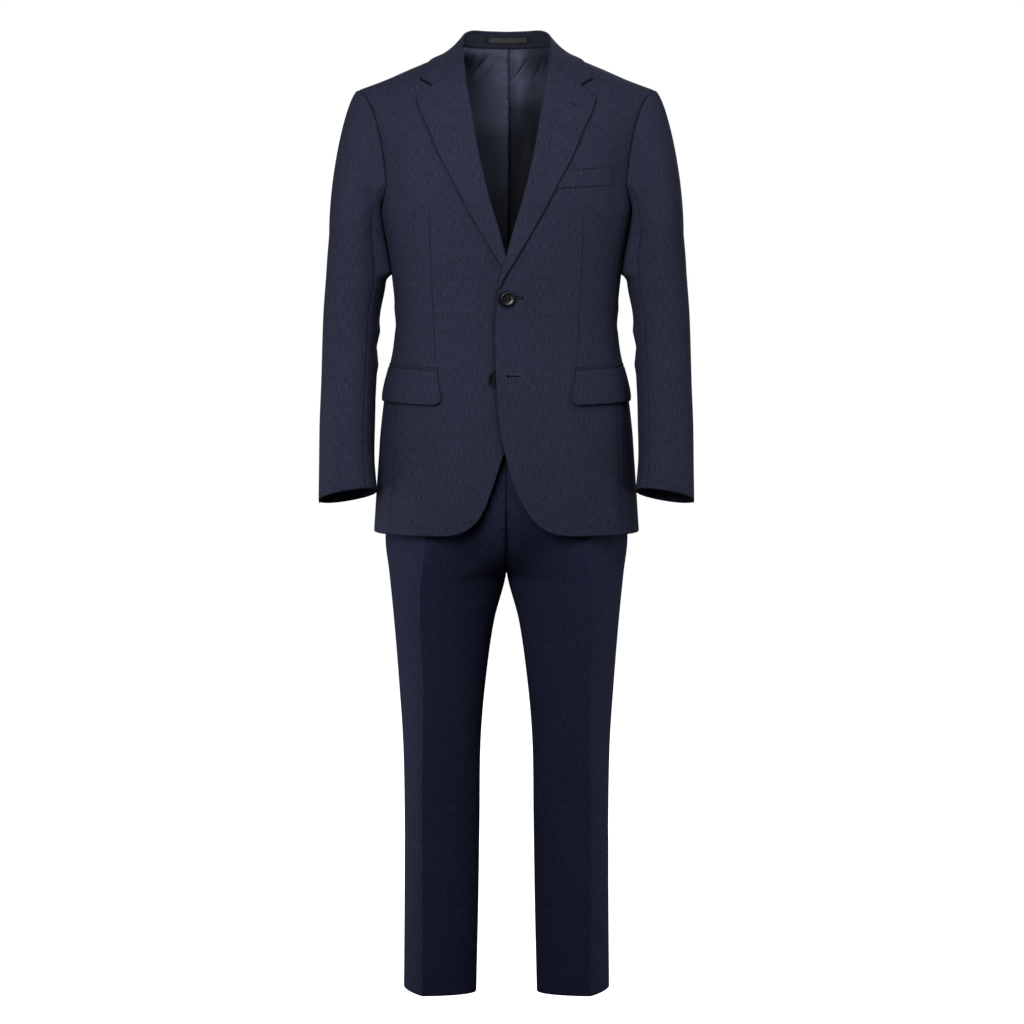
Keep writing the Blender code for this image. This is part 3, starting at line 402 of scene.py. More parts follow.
    def shoulder_turn(self, share: Array) -> Array:
        """Turn on the shoulder ridge, from the neck point to the shoulder tip."""
        start = math.acos((self.neck_x / self.shoulder_half) ** (self.ring_power / 2.0))
        return between(start, self.arm_turn, share)

    def front_hem(self, share: Array) -> Grids:
        """Turn and rise along the cutaway and the hem, from the bend to the side seam.

        Args:
            share: 0 at the bend to 1 at the side seam.

        Returns:
            The turn and the rise.
        """
        first = self.cutaway.rows[0]
        start = self.place(*first)[0]
        turn = between(start, self.hem_seam_turn, np.asarray(share))
        x = self.levels.rows[0][1] * signed_power(np.cos(turn), 2.0 / self.ring_power)
        height = self.cutaway.one(x)
        return turn, (height - self.chest) / (self.chest - self.hem)

    def front_place(self, across: Array, along: Array) -> Grids:
        """Turn and rise on the front, blended between its four edges.

        Args:
            across: 0 at the inner edge to 1 at the side.
            along: 0 at the hem to 1 at the top of the armhole, and above that the rise.

        Returns:
            The turn and the rise.
        """
        across, along = np.broadcast_arrays(across, along)
        rise = np.where(along <= 1.0, self.seam_rise(np.clip(along, 0.0, 1.0)), along)
        inner = self.front_inner(rise)
        outer = (self.seam_turn(rise), rise)
        hem = self.front_hem(across)
        top = (self.shoulder_turn(across), np.ones_like(across))
        hem_start = self.front_hem(np.zeros(()))
        hem_end = self.front_hem(np.ones(()))
        top_start = (self.shoulder_turn(0.0), 1.0)
        top_end = (self.arm_turn, 1.0)
        place = []
        for axis in (0, 1):
            sides = (1.0 - across) * inner[axis] + across * outer[axis]
            ends = (1.0 - along) * hem[axis] + along * top[axis]
            corners = (1.0 - along) * ((1.0 - across) * hem_start[axis] + across * hem_end[axis])
            corners = corners + along * ((1.0 - across) * top_start[axis] + across * top_end[axis])
            place.append(sides + ends - corners)
        return place[0], place[1]

    def back_top(self, turn: Array) -> Array:
        """Rise of the back's top edge: the neck seam, then the shoulder seam.

        Args:
            turn: the angle round the form.

        Returns:
            The rises.
        """
        neck_turn = self.shoulder_turn(0.0)
        middle = float(self.place(np.zeros(()), self.back_neck, True)[1])
        share = np.clip((turn - neck_turn) / (math.pi / 2.0 - neck_turn), 0.0, 1.0)
        return between(1.0, middle, np.sin(share * math.pi / 2.0) ** self.neck_power)

    def raised_neck(self, share: Array) -> Array:
        """The seam over the back neck, where stand and lining meet: 0 at the centre back.

        Args:
            share: how far round the neck.

        Returns:
            The points.
        """
        quarter = math.pi / 2.0
        neck_turn = self.shoulder_turn(0.0)
        turn = quarter + (neck_turn - quarter) * share / self.neck_share
        line = self.point(-turn, self.back_top(np.maximum(turn, neck_turn)))
        held = 1.0 - ease((share - self.neck_hold[0]) / self.neck_hold[1])
        inward = towards_axis(line) * (self.neck_inset * held)[..., None]
        return line + inward + stack(0.0, 0.0, (self.neck_foot - line[..., 2]) * held)

    def back_place(self, across: Array, along: Array) -> Grids:
        """Turn and rise on a back, from the centre back to the side.

        Args:
            across: 0 at the centre back to 1 at the side.
            along: 0 at the hem to 1 at the top of the armhole, and above that the rise.

        Returns:
            The turn and the rise.
        """
        across, along = np.broadcast_arrays(across, along)
        neck = self.neck_part
        quarter = math.pi / 2.0
        neck_turn = self.shoulder_turn(0.0)
        over_neck = quarter + (neck_turn - quarter) * across / neck
        over_arm = neck_turn + (self.arm_turn - neck_turn) * (across - neck) / (1.0 - neck)
        top_turn = np.where(across <= neck, over_neck, over_arm)
        outer_rise = np.where(along <= 1.0, self.seam_rise(along), along)
        upper = np.maximum((outer_rise - self.notch_rise) / (1.0 - self.notch_rise), 0.0)
        rise = outer_rise + (self.back_top(top_turn) - 1.0) * upper
        low_turn = between(quarter, self.seam_turn(outer_rise), across)
        return -between(low_turn, top_turn, ease(upper)), rise

    def settle(self, point: Array, rear: Array, least: Array) -> Array:
        """Points moved out where they stand nearer to the form than the least lift.

        Args:
            point: the points.
            rear: whether each lies on the back.
            least: the least lift of each.

        Returns:
            The moved points.
        """
        under = np.minimum(point[..., 2], self.ridge.one(np.abs(point[..., 0])) - REST_GAP)
        turn, rise = self.place(point[..., 0], under, rear)
        for _ in range(6):
            base = self.point(turn, rise)
            around = (self.point(turn + SLOPE_STEP, rise) - base) / SLOPE_STEP
            along = (self.point(turn, rise + SLOPE_STEP) - base) / SLOPE_STEP
            away = point - base
            mixed = np.sum(around * along, axis=-1)
            round_size = np.sum(around * around, axis=-1)
            up_size = np.sum(along * along, axis=-1)
            scale = round_size * up_size - mixed * mixed
            by_round = np.sum(away * around, axis=-1)
            by_up = np.sum(away * along, axis=-1)
            turn = turn + (by_round * up_size - by_up * mixed) / scale
            rise = np.minimum(rise + (by_up * round_size - by_round * mixed) / scale, 1.0)
        normal = self.normal(turn, rise)
        missing = least - np.sum((point - self.point(turn, rise)) * normal, axis=-1)
        return point + normal * np.maximum(missing, 0.0)[..., None]


FORM = JacketForm()
LAPEL_EDGE = Table((
    (-0.35, -0.0085), (-0.3366, -0.003), (-0.3046, 0.0163), (-0.2651, 0.0403), (-0.2305, 0.0597),
    (-0.198, 0.0766), (-0.1512, 0.1011), (-0.1173, 0.1148), (-0.0884, 0.1283), (-0.0655, 0.1351),
))


# ---------------------------------------------------------------- sheets of cloth
@dataclass(frozen=True)
class Fold:
    """A soft ridge along a bent line, or a trough where its height is below nought.

    The line's three points are in the sheet's chart: metres across the cloth and its height.
    """

    start: Pair
    bend: Pair
    end: Pair
    width: float
    height: float

    def relief(self, chart: Array) -> Array:
        """How far the cloth stands out at each point of the chart.

        Args:
            chart: the chart's points, with a last axis of two.

        Returns:
            The relief, in metres.
        """
        share = np.linspace(0.0, 1.0, 15)
        line = np.outer((1.0 - share) ** 2, self.start)
        line = line + np.outer(2.0 * share * (1.0 - share), self.bend)
        line = line + np.outer(share ** 2, self.end)
        nearest = np.full(chart.shape[:-1], 1e9)
        gone = np.zeros(chart.shape[:-1])
        for index in range(len(share) - 1):
            piece = line[index + 1] - line[index]
            away = chart - line[index]
            part = np.clip(away @ piece / float(piece @ piece), 0.0, 1.0)
            distance = np.linalg.norm(away - part[..., None] * piece, axis=-1)
            closer = distance < nearest
            nearest = np.where(closer, distance, nearest)
            gone = np.where(closer, share[index] + part * (share[1] - share[0]), gone)
        fade = np.sin(np.clip(gone, 0.0, 1.0) * math.pi) ** 0.8
        width = self.width * (0.65 + 0.35 * fade)
        return self.height * fade * bell(nearest / width)


def folds(rows: Sequence[tuple[float, ...]]) -> Folds:
    """Folds from rows in millimetres: start, bend and end (two numbers each), width, height."""
    sizes = (tuple(value / 1000.0 for value in row) for row in rows)
    return tuple(Fold(row[0:2], row[2:4], row[4:6], row[6], row[7]) for row in sizes)


Folds = tuple[Fold, ...]


@dataclass
class Sheet:
    """One sheet of cloth: its surface, its mesh counts, its edges and its relief.

    edges are its first and last column, then its first and last row.
    """

    name: str
    surface: Surface
    columns: Array
    rows: Array
    finish: Material
    node: str
    flat: Pair
    area: float
    slot: str = "jacket_cloth"
    side: Side = Side.LEFT
    flip: bool = False
    thickness: float = CLOTH
    edges: tuple[Edge, Edge, Edge, Edge] = (Edge.SEAM,) * 4
    chart: Relief | None = None
    wrinkles: Folds = ()
    relief: Relief | None = None
    shade: Relief | None = None
    upright: bool = True
    rests_on: tuple[str, ...] = ()
    step: float = SLOPE_STEP
    grid: Array = field(default=None, repr=False)

    def lay_out(self) -> Grids:
        """The sheet's points with its relief, and their places in the cloth.

        Returns:
            The points, and for each its two cloth coordinates in metres and its painted shade.
        """
        across, along = np.meshgrid(self.columns, self.rows)
        mirror = np.array([self.side.value, 1.0, 1.0])
        points = self.surface(across, along)
        width = self.surface(across + self.step, along) - self.surface(across - self.step, along)
        length = self.surface(across, along + self.step) - self.surface(across, along - self.step)
        normal = unit(np.cross(width, length)) * (-1.0 if self.flip else 1.0)
        from_left, from_low = gone_along(points, 1), gone_along(points, 0)
        gaps = (from_left, from_left[:, -1:] - from_left, from_low, from_low[-1:, :] - from_low)
        out = np.zeros(across.shape)
        clear = np.ones(across.shape)
        # Each edge sinks the cloth beside it and paints shade there; clear is the colour left after
        # all the painted shade.
        for edge, gap in zip(self.edges, gaps):
            depth, reach, dark, dark_reach = edge.value
            out -= depth * bell(gap / reach)
            clear *= 1.0 - dark * bell(gap / dark_reach)
        chart = points[..., (0, 2)] if self.chart is None else self.chart(across, along, points)
        for fold in self.wrinkles:
            out += fold.relief(chart)
        if self.relief is not None:
            out += self.relief(across, along, points)
        # The sheet's own painted shade.
        if self.shade is not None:
            clear *= 1.0 - np.clip(self.shade(across, along, points), 0.0, 1.0)
        middle = from_left - from_left[:, len(self.columns) // 2][:, None]
        length = points[..., 2] if self.upright else from_low
        cloth = np.stack((middle, length, 1.0 - clear), axis=-1)
        points = points + normal * out[..., None]
        self.grid = points * mirror
        points, cloth = self.with_lips(points, normal, cloth)
        return points * mirror, cloth

    def with_lips(self, points: Array, normal: Array, cloth: Array) -> Grids:
        """The sheet with a narrow lip turned in along each sewn edge, which closes the seam.

        Args:
            points: the sheet's points.
            normal: its outward directions.
            cloth: the cloth coordinates.

        Returns:
            The points and the cloth coordinates with the lips' rows and columns.
        """
        for index, edge in enumerate(self.edges):
            if edge is not Edge.SEAM:
                continue
            axis = 1 if index < 2 else 0
            rim, inner = ((0,), (2,)) if index % 2 == 0 else ((-1,), (-3,))
            edge_points = np.take(points, rim, axis=axis)
            edge_normal = np.take(normal, rim, axis=axis)
            away = unit(edge_points - np.take(points, inner, axis=axis))
            lip = edge_points + away * LIP_REACH - edge_normal * LIP_DEPTH
            grown = []
            for body, border in ((points, lip), (normal, edge_normal),
                                 (cloth, np.take(cloth, rim, axis=axis))):
                pair = (border, body) if index % 2 == 0 else (body, border)
                grown.append(np.concatenate(pair, axis=axis))
            points, normal, cloth = grown
        return points, cloth

    def seam_line(self, edge: int, inset: float) -> Grids:
        """A line at a distance inside one edge, and the outward direction along it."""
        turned = (-1.0 if self.flip else 1.0) * self.side.value
        return edge_path(self.grid, edge, inset, (1.0, -1.0, -1.0, 1.0)[edge] * turned)

    def build(self) -> Sheet:
        """Make the sheet as a mesh with its wall, riding on the suit.

        Returns:
            The sheet itself, with its grid.
        """
        points, cloth = self.lay_out()
        turned = self.flip if self.side is Side.LEFT else not self.flip
        piece = grid_object(self.name, points, cloth, turned, self.finish)
        wall = piece.modifiers.new("wall", "SOLIDIFY")
        wall.thickness = self.thickness
        wall.offset = -1.0
        attach(piece, self.slot, self.node)
        list(self.rests_on)
        LOG.info("%s: %d points", self.name, self.grid.shape[0] * self.grid.shape[1])
        return self


def gone_along(points: Array, axis: int) -> Array:
    """How far each point of a grid lies from its first row (axis 0) or column (axis 1)."""
    gaps = np.linalg.norm(np.diff(points, axis=axis), axis=-1)
    start = np.zeros((1, gaps.shape[1]) if axis == 0 else (len(gaps), 1))
    return np.concatenate((start, np.cumsum(gaps, axis=axis)), axis=axis)


def mesh_object(name: str, points: Sequence[Sequence[float]], faces: Sequence[Sequence[int]],
                finish: Material) -> Object:
    """A new mesh in the scene, with its finish.

    Args:
        name: its name.
        points: its points.
        faces: the points of each face, by number.
        finish: its finish.

    Returns:
        The new object.
    """
    mesh = bpy.data.meshes.new(name)
    mesh.from_pydata(points, [], faces)
    mesh.update()
    mesh.materials.append(finish)
    piece = bpy.data.objects.new(name, mesh)
    bpy.context.scene.collection.objects.link(piece)
    return piece


def grid_object(name: str, grid: Array, cloth: Array, turned: bool, finish: Material) -> Object:
    """A smooth mesh over a grid of points, with the cloth's own coordinates as its UV map.

    Args:
        name: the piece's name.
        grid: the points, rows by columns.
        cloth: two cloth coordinates of each, in metres, and its shade.
        turned: whether the faces' order is turned round.
        finish: the material.

    Returns:
        The new object.
    """
    rows, columns = grid.shape[:2]
    first = (np.arange(rows - 1)[:, None] * columns + np.arange(columns - 1)).ravel()
    faces = np.stack((first, first + 1, first + columns + 1, first + columns), axis=1)
    faces = faces[:, ::-1] if turned else faces
    piece = mesh_object(name, grid.reshape(-1, 3).tolist(), faces.tolist(), finish)
    mesh = piece.data
    layer = mesh.uv_layers.new(name="cloth")
    corners = np.zeros(len(mesh.loops), dtype=np.int32)
    mesh.loops.foreach_get("vertex_index", corners)
    flat = cloth.reshape(-1, 3).astype(np.float32)
    layer.data.foreach_set("uv", flat[corners, :2].ravel())
    mesh.attributes.new("shade", "FLOAT", "POINT").data.foreach_set("value", flat[:, 2].copy())
    mesh.shade_smooth()
    return piece


def attach(piece: Object, slot: str, *nodes: str) -> None:
    """Make a piece ride on the suit and hide the imported nodes that it stands for.

    Args:
        piece: the piece.
        slot: not used.
        *nodes: the nodes that it stands for.
    """
    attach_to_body(piece, "root")
    if nodes:
        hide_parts(*nodes)


# ---------------------------------------------------------------- finishes
def fill(tree: NodeTree, node: bpy.types.Node, inputs: dict[int | str, object]) -> None:
    """Feed a node's inputs, each from a socket or with a plain value.

    Args:
        tree: the tree that the node is in.
        node: the node.
        inputs: a socket or a value for each input, by its number or name.
    """
    for key, value in inputs.items():
        if isinstance(value, Socket):
            tree.links.new(value, node.inputs[key])
        else:
            node.inputs[key].default_value = value


def add_node(tree: NodeTree, kind: str, inputs: dict[int | str, object] | None = None,
             **values: object) -> bpy.types.Node:
    """A node with its plain properties set and its inputs fed.

    Args:
        tree: the tree to add it to.
        kind: the type of node.
        inputs: what its inputs are fed with.
        **values: its plain properties.

    Returns:
        The new node.
    """
    node = tree.nodes.new(kind)
    for key, value in values.items():
        setattr(node, key, value)
    fill(tree, node, inputs or {})
    return node


def math_node(tree: NodeTree, operation: str, first: Socket | float,
              second: Socket | float) -> Socket:
    """The result of a sum of two sockets or numbers."""
    return add_node(tree, "ShaderNodeMath", {0: first, 1: second}, operation=operation).outputs[0]


def mixed(tree: NodeTree, share: Socket | float, first: object, last: object,
          blend: str = "MIX") -> Socket:
    """A colour mixed from two, each a socket or a plain colour."""
    return add_node(tree, "ShaderNodeMix", {0: share, 6: first, 7: last}, data_type="RGBA",
                    clamp_factor=True, blend_type=blend).outputs[2]


def opaque(colour: Colour, strength: float = 1.0) -> tuple[float, ...]:
    """A colour made stronger or weaker, with no see-through."""
    return (*(value * strength for value in colour), 1.0)


def stretched_noise(tree: NodeTree, vector: Socket, scale: Colour, detail: float) -> Socket:
    """Noise on coordinates stretched by a scale."""
    mapping = add_node(tree, "ShaderNodeMapping", {"Scale": scale, "Vector": vector})
    return add_node(tree, "ShaderNodeTexNoise", {
        "Scale": 1.0, "Detail": detail, "Vector": mapping.outputs["Vector"]}).outputs["Fac"]


def weave_group() -> NodeTree:
    """The woven look that every cloth shares: uneven warp and weft, and the threads' height.

    Returns:
        A group with Colour and Height.
    """
    group = bpy.data.node_groups.new("uneven_weave", "ShaderNodeTree")
    for name, direction, kind in (
            ("Vector", "INPUT", "Vector"), ("Dark", "INPUT", "Color"), ("Light", "INPUT", "Color"),
            ("Threads", "INPUT", "Float"), ("Cloudy", "INPUT", "Float"),
            ("Colour", "OUTPUT", "Color"), ("Height", "OUTPUT", "Float")):
        group.interface.new_socket(name=name, in_out=direction, socket_type=f"NodeSocket{kind}")
    given = add_node(group, "NodeGroupInput").outputs
    warp, weft, cloud, nap = (
        stretched_noise(group, given["Vector"], (across, along, 1.0), detail)
        for across, along, detail in ((720.0, 85.0, 1.0), (330.0, 760.0, 1.0), (16.0, 11.0, 1.0),
                                      (900.0, 900.0, 3.0)))
    threads = math_node(group, "ADD", math_node(group, "ADD", warp, weft), nap)
    threads = math_node(group, "SUBTRACT", threads, 1.5)
    threads = math_node(group, "MULTIPLY", threads, given["Threads"])
    clouds = math_node(group, "SUBTRACT", cloud, 0.5)
    clouds = math_node(group, "MULTIPLY", clouds, given["Cloudy"])
    share = math_node(group, "ADD", math_node(group, "ADD", threads, clouds), 0.5)
    colour = mixed(group, share, given["Dark"], given["Light"])
    add_node(group, "NodeGroupOutput", {"Colour": colour, "Height": threads})
    return group


def new_material(name: str) -> tuple[Material, NodeTree, bpy.types.Node]:
    """A new material, its nodes and its shader."""
    made = bpy.data.materials.new(name)
    made.use_nodes = True
    return made, made.node_tree, made.node_tree.nodes["Principled BSDF"]


@dataclass(frozen=True)
class ClothFinish:
    """A woven cloth: its two thread colours, its gloss, its nap and its weave's strength.

    shade holds heights on the cloth and the colour's strength at each: painted shade by height.
    """

    name: str
    dark: Colour
    light: Colour
    roughness: float = 0.82
    sheen: float = 0.02
    sheen_tint: Colour = (0.55, 0.6, 0.8)
    sheen_roughness: float = 0.5
    specular: float = 0.05
    threads: float = 1.7
    cloudy: float = 0.2
    bump: float = 0.3
    relief: float = 0.0004
    painted_shade_scale: float = 0.08
    shade: tuple[Pair, ...] = ()

    def shaded(self, tree: NodeTree, place: Socket, colour: Socket) -> Socket:
        """The colour with painted shade: darker beside edges, in creases and under things where the
        shade attribute says so, and darker by height where rows say so.

        Args:
            tree: the material's nodes.
            place: the cloth coordinates, whose second is the height.
            colour: the woven colour.

        Returns:
            The colour to use.
        """
        # Painted shade: the shade attribute mixes the colour towards a much darker thread colour.
        crease = add_node(tree, "ShaderNodeAttribute", attribute_name="shade").outputs["Fac"]
        colour = mixed(tree, crease, colour, opaque(self.dark, self.painted_shade_scale))
        if not self.shade:
            return colour
        low, high = self.shade[0][0], self.shade[-1][0]
        parts = add_node(tree, "ShaderNodeSeparateXYZ", {0: place})
        lifted = math_node(tree, "SUBTRACT", parts.outputs[1], low)
        share = math_node(tree, "DIVIDE", lifted, high - low)
        ramp = add_node(tree, "ShaderNodeValToRGB", {0: share})
        stops = ramp.color_ramp.elements
        while len(stops) < len(self.shade):
            stops.new(0.5)
        for stop, (height, strength) in zip(stops, self.shade):
            stop.position = (height - low) / (high - low)
            stop.color = opaque((strength,) * 3)
        return mixed(tree, 1.0, colour, ramp.outputs[0], "MULTIPLY")

    def material(self, weave: NodeTree) -> Material:
        """The cloth's material.

        Args:
            weave: the shared weave group.

        Returns:
            A material that reads the sheet's own cloth coordinates.
        """
        made, tree, shader = new_material(self.name)
        place = add_node(tree, "ShaderNodeUVMap", uv_map="cloth").outputs["UV"]
        woven = add_node(tree, "ShaderNodeGroup", {
            "Dark": opaque(self.dark), "Light": opaque(self.light), "Threads": self.threads,
            "Cloudy": self.cloudy, "Vector": place}, node_tree=weave).outputs
        bump = add_node(tree, "ShaderNodeBump", {
            "Strength": self.bump, "Distance": self.relief, "Height": woven["Height"]})
        fill(tree, shader, {
            "Base Color": self.shaded(tree, place, woven["Colour"]),
            "Normal": bump.outputs["Normal"], "Roughness": self.roughness,
            "Sheen Weight": self.sheen, "Sheen Roughness": self.sheen_roughness,
            "Sheen Tint": opaque(self.sheen_tint), "Specular IOR Level": self.specular})
        return made


@dataclass(frozen=True)
class PlainFinish:
    """A finish with a faint mottle: thread, horn or the studio's floor."""

    name: str
    colour: Colour
    roughness: float
    specular: float = 0.5
    mottle: float = 0.3
    grain: float = 300.0
    coat: float = 0.0
    glow: float = 0.0

    def material(self) -> Material:
        """The finish's material, on object coordinates.

        Returns:
            The new material.
        """
        made, tree, shader = new_material(self.name)
        place = add_node(tree, "ShaderNodeTexCoord").outputs["Object"]
        noise = stretched_noise(tree, place, (self.grain,) * 3, 3.0)
        fill(tree, shader, {
            "Base Color": mixed(tree, noise, opaque(self.colour, 1.0 - self.mottle),
                                opaque(self.colour, 1.0 + self.mottle)),
            "Roughness": self.roughness, "Specular IOR Level": self.specular,
            "Coat Weight": self.coat, "Emission Color": opaque((1.0,) * 3),
            "Emission Strength": self.glow})
        return made


@dataclass
class Wardrobe:
    """Every finish of the suit, made once."""

    jacket: Material
    trousers: Material
    stand: Material
    lining: dict[Side, Material]
    label: Material
    horn: Material
    dim_horn: Material
    thread: Material
    purl: Material
    slit: Material
    floor: Material
    # Painted shade on each lining half: the colour's strength by height, darker towards the bottom
    # and at the top edge, and the left half darker than the right.
    shades: ClassVar[tuple[tuple[Side, tuple[Pair, ...]], ...]] = (
        (Side.RIGHT, ((-0.3, 0.05), (-0.225, 0.22), (-0.19, 0.38), (-0.15, 0.44),
                      (-0.12, 0.52), (-0.09, 0.88), (-0.026, 1.0), (-0.012, 0.8), (0.002, 0.4))),
        (Side.LEFT, ((-0.3, 0.03), (-0.2, 0.07), (-0.12, 0.1), (-0.075, 0.21),
                     (-0.057, 0.44), (-0.035, 0.56), (0.002, 0.3))),
    )

    @classmethod
    def make(cls) -> Wardrobe:
        """All the finishes.

        Returns:
            The finishes, each in its material.
        """
        weave = weave_group()
        return cls(
            jacket=ClothFinish("navy_wool", (0.0146, 0.0168, 0.0314),
                               (0.0321, 0.0368, 0.0666)).material(weave),
            # The trousers' cloth is darker than the jacket's: partly a darker cloth, partly painted
            # shade over the legs.
            trousers=ClothFinish("dark_navy_wool", (0.0096, 0.0117, 0.0264),
                                 (0.0205, 0.0247, 0.0558)).material(weave),
            # The stand's cloth is the jacket's navy made darker: painted shade inside the neck.
            stand=ClothFinish("stand_wool_painted_shade", (0.0104, 0.0121, 0.0209),
                              (0.0209, 0.0242, 0.0409)).material(weave),
            # The two lining materials are copies that differ only in their painted shade.
            lining={side: ClothFinish(
                f"lining_satin_{side.word}", (0.16, 0.177, 0.288), (0.236, 0.26, 0.405),
                roughness=0.48, specular=0.1, threads=0.8, cloudy=0.6, bump=0.15,
                relief=0.0002, shade=shade).material(weave) for side, shade in cls.shades},
            label=ClothFinish("label_tape", (0.026, 0.025, 0.024), (0.052, 0.049, 0.046),
                              roughness=0.6, sheen=0.1, threads=1.2, bump=0.4).material(weave),
            horn=PlainFinish("button_horn", (0.0042, 0.005, 0.005), 0.24, 0.4, 0.97, 900.0,
                             0.1).material(),
            # The lower button's horn: the same horn made darker, painted shade under the lapped
            # front edge.
            dim_horn=PlainFinish("button_horn_painted_shade", (0.0022, 0.0026, 0.0028), 0.5, 0.12, 0.9,
                                 620.0).material(),
            thread=PlainFinish("navy_thread", (0.012, 0.014, 0.026), 0.6, 0.3).material(),
            purl=PlainFinish("purl_thread", (0.026, 0.03, 0.048), 0.7, 0.2).material(),
            # A near-black finish for the buttonholes' plates: painted shade in and round the slits.
            slit=PlainFinish("slit_painted_shadow", (0.001, 0.0012, 0.002), 0.9, 0.05).material(),
            floor=PlainFinish("studio_floor", (0.9, 0.9, 0.9), 0.9, 0.1, 0.01, 3.0,
                              glow=1.0).material(),
        )


# ---------------------------------------------------------------- sewing
def edge_path(grid: Array, edge: int, inset: float, mirror: float) -> Grids:
    """A line that follows one edge of a sheet at a distance, and the cloth's direction there.

    Args:
        grid: the sheet's points, rows by columns.
        edge: 0 and 1 are its first and last column, 2 and 3 its first and last row.
        inset: the distance from the edge.
        mirror: the sign that turns the directions outwards.

    Returns:
        The line's points and the outward directions.
    """
    lines = grid if edge < 2 else grid.transpose(1, 0, 2)
    if edge % 2 == 1:
        lines = lines[:, ::-1]
    path = np.empty((len(lines), 3))
    inwards = np.empty((len(lines), 3))
    for row, (points, along) in enumerate(zip(lines, gone_along(lines, 1))):
        behind, path[row], ahead = (spread(place, along, points) for place in (
            max(inset - 0.001, 0.0), inset, inset + 0.003))
        inwards[row] = ahead - behind
    return path, unit(np.cross(inwards, np.gradient(path, axis=0))) * mirror


def spread(marks: Array | float, along: Array, points: Array) -> Array:
    """The points of a line at marks along it."""
    return np.stack([np.interp(marks, along, points[:, axis]) for axis in range(3)], axis=-1)


def even_marks(path: Array, out: Array, pitch: float, first: float = 0.0,
               last: float = 1.0) -> list[tuple[Vector, Vector, Vector]]:
    """Evenly spaced places along a line: each with its forward and outward direction.

    Args:
        path: the line's points.
        out: the outward direction at each.
        pitch: the distance between places.
        first: the share of the line before the first place.
        last: the share of the line at which they end.

    Returns:
        The place, the forward direction and the outward one, for each.
    """
    lengths = np.concatenate(([0.0], np.cumsum(np.linalg.norm(np.diff(path, axis=0), axis=1))))
    marks = np.arange(lengths[-1] * first + pitch / 2.0, lengths[-1] * last, pitch)
    near = pitch * 0.4
    forward = unit(spread(marks + near, lengths, path) - spread(marks - near, lengths, path))
    return [(Vector(spot), Vector(way), Vector(up).normalized()) for spot, way, up in zip(
        spread(marks, lengths, path), forward, spread(marks, lengths, out))]


@dataclass
class Sewing:
    """Visible stitches, each a short rounded piece of thread that lies in the cloth."""

    name: str
    finish: Material
    length: float = 0.0013
    width: float = 0.00045
    lift: float = 0.00005
    marks: list[tuple[Vector, Vector, Vector]] = field(default_factory=list)

    def add(self, marks: Sequence[tuple[Vector, Vector, Vector]]) -> None:
        """Add places to sew at."""
        self.marks.extend(marks)

    def build(self, slot: str = "jacket_cloth") -> Object:
        """All the stitches as one mesh.

        Args:
            slot: not used.

        Returns:
            The finished object.
        """
        points: list[Vector] = []
        faces: list[tuple[int, ...]] = []
        half = self.length / 2.0
        rings = ((-half, 0.35), (-half * 0.6, 1.0), (half * 0.6, 1.0), (half, 0.35))
        for spot, way, out in self.marks:
            sideways = way.cross(out).normalized()
            base = len(points)
            centre = spot + out * self.lift
            for distance, size in rings:
                for turn in range(6):
                    angle = turn * math.pi / 3.0
                    radius = self.width / 2.0 * size
                    around = sideways * math.cos(angle) + out * math.sin(angle)
                    points.append(centre + way * distance + around * radius)
            for ring in range(3):
                low = base + ring * 6
                faces += [(low + turn, low + (turn + 1) % 6, low + 6 + (turn + 1) % 6,
                           low + 6 + turn) for turn in range(6)]
            faces.append(tuple(base + 5 - turn for turn in range(6)))
            faces.append(tuple(base + 18 + turn for turn in range(6)))
        piece = mesh_object(self.name, [tuple(point) for point in points], faces, self.finish)
        work = bmesh.new()
        work.from_mesh(piece.data)
        bmesh.ops.recalc_face_normals(work, faces=work.faces)
        work.to_mesh(piece.data)
        work.free()
        piece.data.shade_smooth()
        attach(piece, slot)
        LOG.info("%s: %d stitches", self.name, len(self.marks))
        return piece


